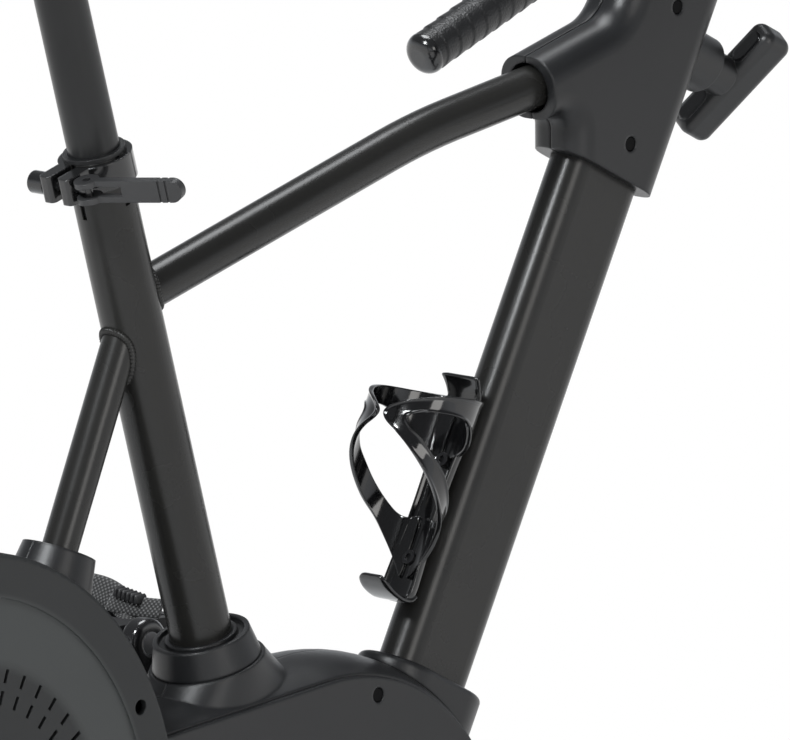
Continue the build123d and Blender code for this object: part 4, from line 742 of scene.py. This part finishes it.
def cage_arm(side):
    """Rows of one arm: a band round the bottle with a raised rim along each edge."""
    outer_line = catmull([(turn, h, 0) for turn, h in outer_edge], count=7)
    inner_line = catmull([(turn, h, 0) for turn, h in inner_edge], count=7)
    rows = []
    for p, q in zip(outer_line, inner_line):
        ring = []
        for t in arm_shares:
            turn, h = math.radians(p.x + (q.x - p.x) * t), p.y + (q.y - p.y) * t
            lift = rim_lift * math.exp(-((min(t, 1 - t) - rim_middle) / rim_width) ** 2)
            ring.append((turn, h, grip_radius + arm_half + lift))
        ring += [(turn, h, grip_radius - arm_half) for turn, h, _ in reversed(ring)]
        rows.append([
            on_post(bottle_line - r * math.cos(turn), side * r * math.sin(turn), h) for turn, h, r in ring
        ])
    return rows


def cage_spine():
    """Rows of the spine: a channel between two rims, open towards the bottle."""
    rows = []
    for station in catmull([(h, w, 0) for h, w in spine_stations], count=6):
        h, w = station.x, station.y
        section = (
            (-w, spine_back), (-w, spine_wall), (-w + rim_in, spine_rim), (-w + lip_in, spine_lip),
            (-w + floor_in, spine_floor), (0, spine_middle), (w - floor_in, spine_floor),
            (w - lip_in, spine_lip), (w - rim_in, spine_rim), (w, spine_wall), (w, spine_back),
            (0, spine_back),
        )
        rows.append([on_post(a, y, h) for y, a in section])
    return rows


def cage_plate(stations, thick):
    """Rows of a rounded plate through stations of place, height and half width along the post's line."""
    rows = []
    line = catmull(stations, count=6)
    for i, point in enumerate(line):
        way = along(line, i)
        run = math.hypot(way.x, way.y)
        up_a, up_h = -way.y / run, way.x / run
        upper, lower = [], []
        for t in plate_shares:
            half = thick / 2 * (plate_edge if abs(t) == 1 else 1.0)
            upper.append(on_post(point.x + up_a * half, t * point.z, point.y + up_h * half))
            lower.append(on_post(point.x - up_a * half, t * point.z, point.y - up_h * half))
        rows.append(upper + lower[::-1])
    return rows


def cage_boss(height):
    """Rows of the round boss behind one bolt."""
    return [
        [
            on_post(a, boss_radius * math.cos(turn), height + boss_radius * math.sin(turn))
            for turn in turns(boss_around)
        ]
        for a in boss_ends
    ]


verts, faces = [], []
for side in (-1, 1):
    gather(verts, faces, cage_arm(side))
gather(verts, faces, cage_spine())
gather(verts, faces, cage_plate(head_plate, head_thick))
gather(verts, faces, cage_plate(foot_plate, foot_thick))
for height in boss_heights:
    gather(verts, faces, cage_boss(height))
cage = new_mesh("cage_moulding", verts, faces)
subdivide(cage, "soften")
place(cage, gloss, "frame")
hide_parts("bottle_cage")

# Floor: pale and shaded near the bike, plain white further off
floor_half = 60
floor_colour, floor_rough, white_strength = (0.86, 0.86, 0.86, 1), 0.7, 1.0
white_start, white_full = 0.7, 1.5
floor_corners = [(x * floor_half, y * floor_half, 0) for x, y in ((-1, -1), (1, -1), (1, 1), (-1, 1))]
floor = new_mesh("floor", floor_corners, [(0, 1, 2, 3)])


def pale_floor():
    """Floor material. Camera, glossy and transmission rays see it turn white away from the bike."""
    mat, tree, shader = new_material("pale_floor")
    set_inputs(shader, {"Base Color": floor_colour, "Roughness": floor_rough})
    white = tree.nodes.new("ShaderNodeEmission")
    set_inputs(white, {"Strength": white_strength})
    coord = tree.nodes.new("ShaderNodeTexCoord")
    length = tree.nodes.new("ShaderNodeVectorMath")
    length.operation = "LENGTH"
    link(tree, coord, "Object", length, "Vector")
    away = smooth_range(tree, length, "Value", {"From Min": white_start, "From Max": white_full})
    path = tree.nodes.new("ShaderNodeLightPath")
    seen = calc(tree, "MAXIMUM", (path, "Is Camera Ray"), (path, "Is Glossy Ray"))
    any_seen = calc(tree, "MAXIMUM", (seen, "Value"), (path, "Is Transmission Ray"))
    factor = calc(tree, "MULTIPLY", (any_seen, "Value"), (away, "Result"))
    mix = tree.nodes.new("ShaderNodeMixShader")
    link(tree, factor, "Value", mix, "Fac")
    link(tree, shader, "BSDF", mix, 1)
    link(tree, white, "Emission", mix, 2)
    link(tree, mix, "Shader", tree.nodes["Material Output"], "Surface")
    return mat


floor.data.materials.append(pale_floor())

# World: bright towards the horizon, dimmer overhead
sky_colour = (0.93, 0.96, 1.0, 1)
sky_low, sky_high, low_strength, high_strength = 0.05, 0.40, 0.90, 0.20
world = bpy.data.worlds.new("studio")
scene.world = world
world.use_nodes = True
sky = world.node_tree
background = sky.nodes["Background"]
set_inputs(background, {"Color": sky_colour})
ray = sky.nodes.new("ShaderNodeTexCoord")
split_ray = sky.nodes.new("ShaderNodeSeparateXYZ")
link(sky, ray, "Generated", split_ray, "Vector")
fade = smooth_range(sky, split_ray, "Z", {
    "From Min": sky_low,
    "From Max": sky_high,
    "To Min": low_strength,
    "To Max": high_strength,
})
link(sky, fade, "Result", background, "Strength")

# Lamps
bike_middle = Vector((0, 0, 0.6))


def lamp(name, spot, size, power, colour):
    """Soft rectangular lamp that faces the middle of the bike."""
    light = bpy.data.lights.new(name, "AREA")
    light.shape = "RECTANGLE"
    light.size, light.size_y = size
    light.energy = power
    light.color = colour
    obj = bpy.data.objects.new(name, light)
    scene.collection.objects.link(obj)
    obj.location = spot
    obj.rotation_mode = "QUATERNION"
    obj.rotation_quaternion = (bike_middle - Vector(spot)).to_track_quat("-Z", "Y")
    obj.visible_camera = False


lamp("rear_softbox", (-2.3, -0.3, 3.0), size=(0.6, 0.6), power=100, colour=(0.95, 0.98, 1.0))
lamp("top_softbox", (0.5, 0.6, 3.2), size=(1.4, 1.4), power=50, colour=(0.96, 0.98, 1.0))
lamp("side_softbox", (-0.6, -3.0, 1.5), size=(1.0, 1.8), power=22, colour=(1.0, 0.98, 0.95))
scene.view_settings.view_transform = "Standard"
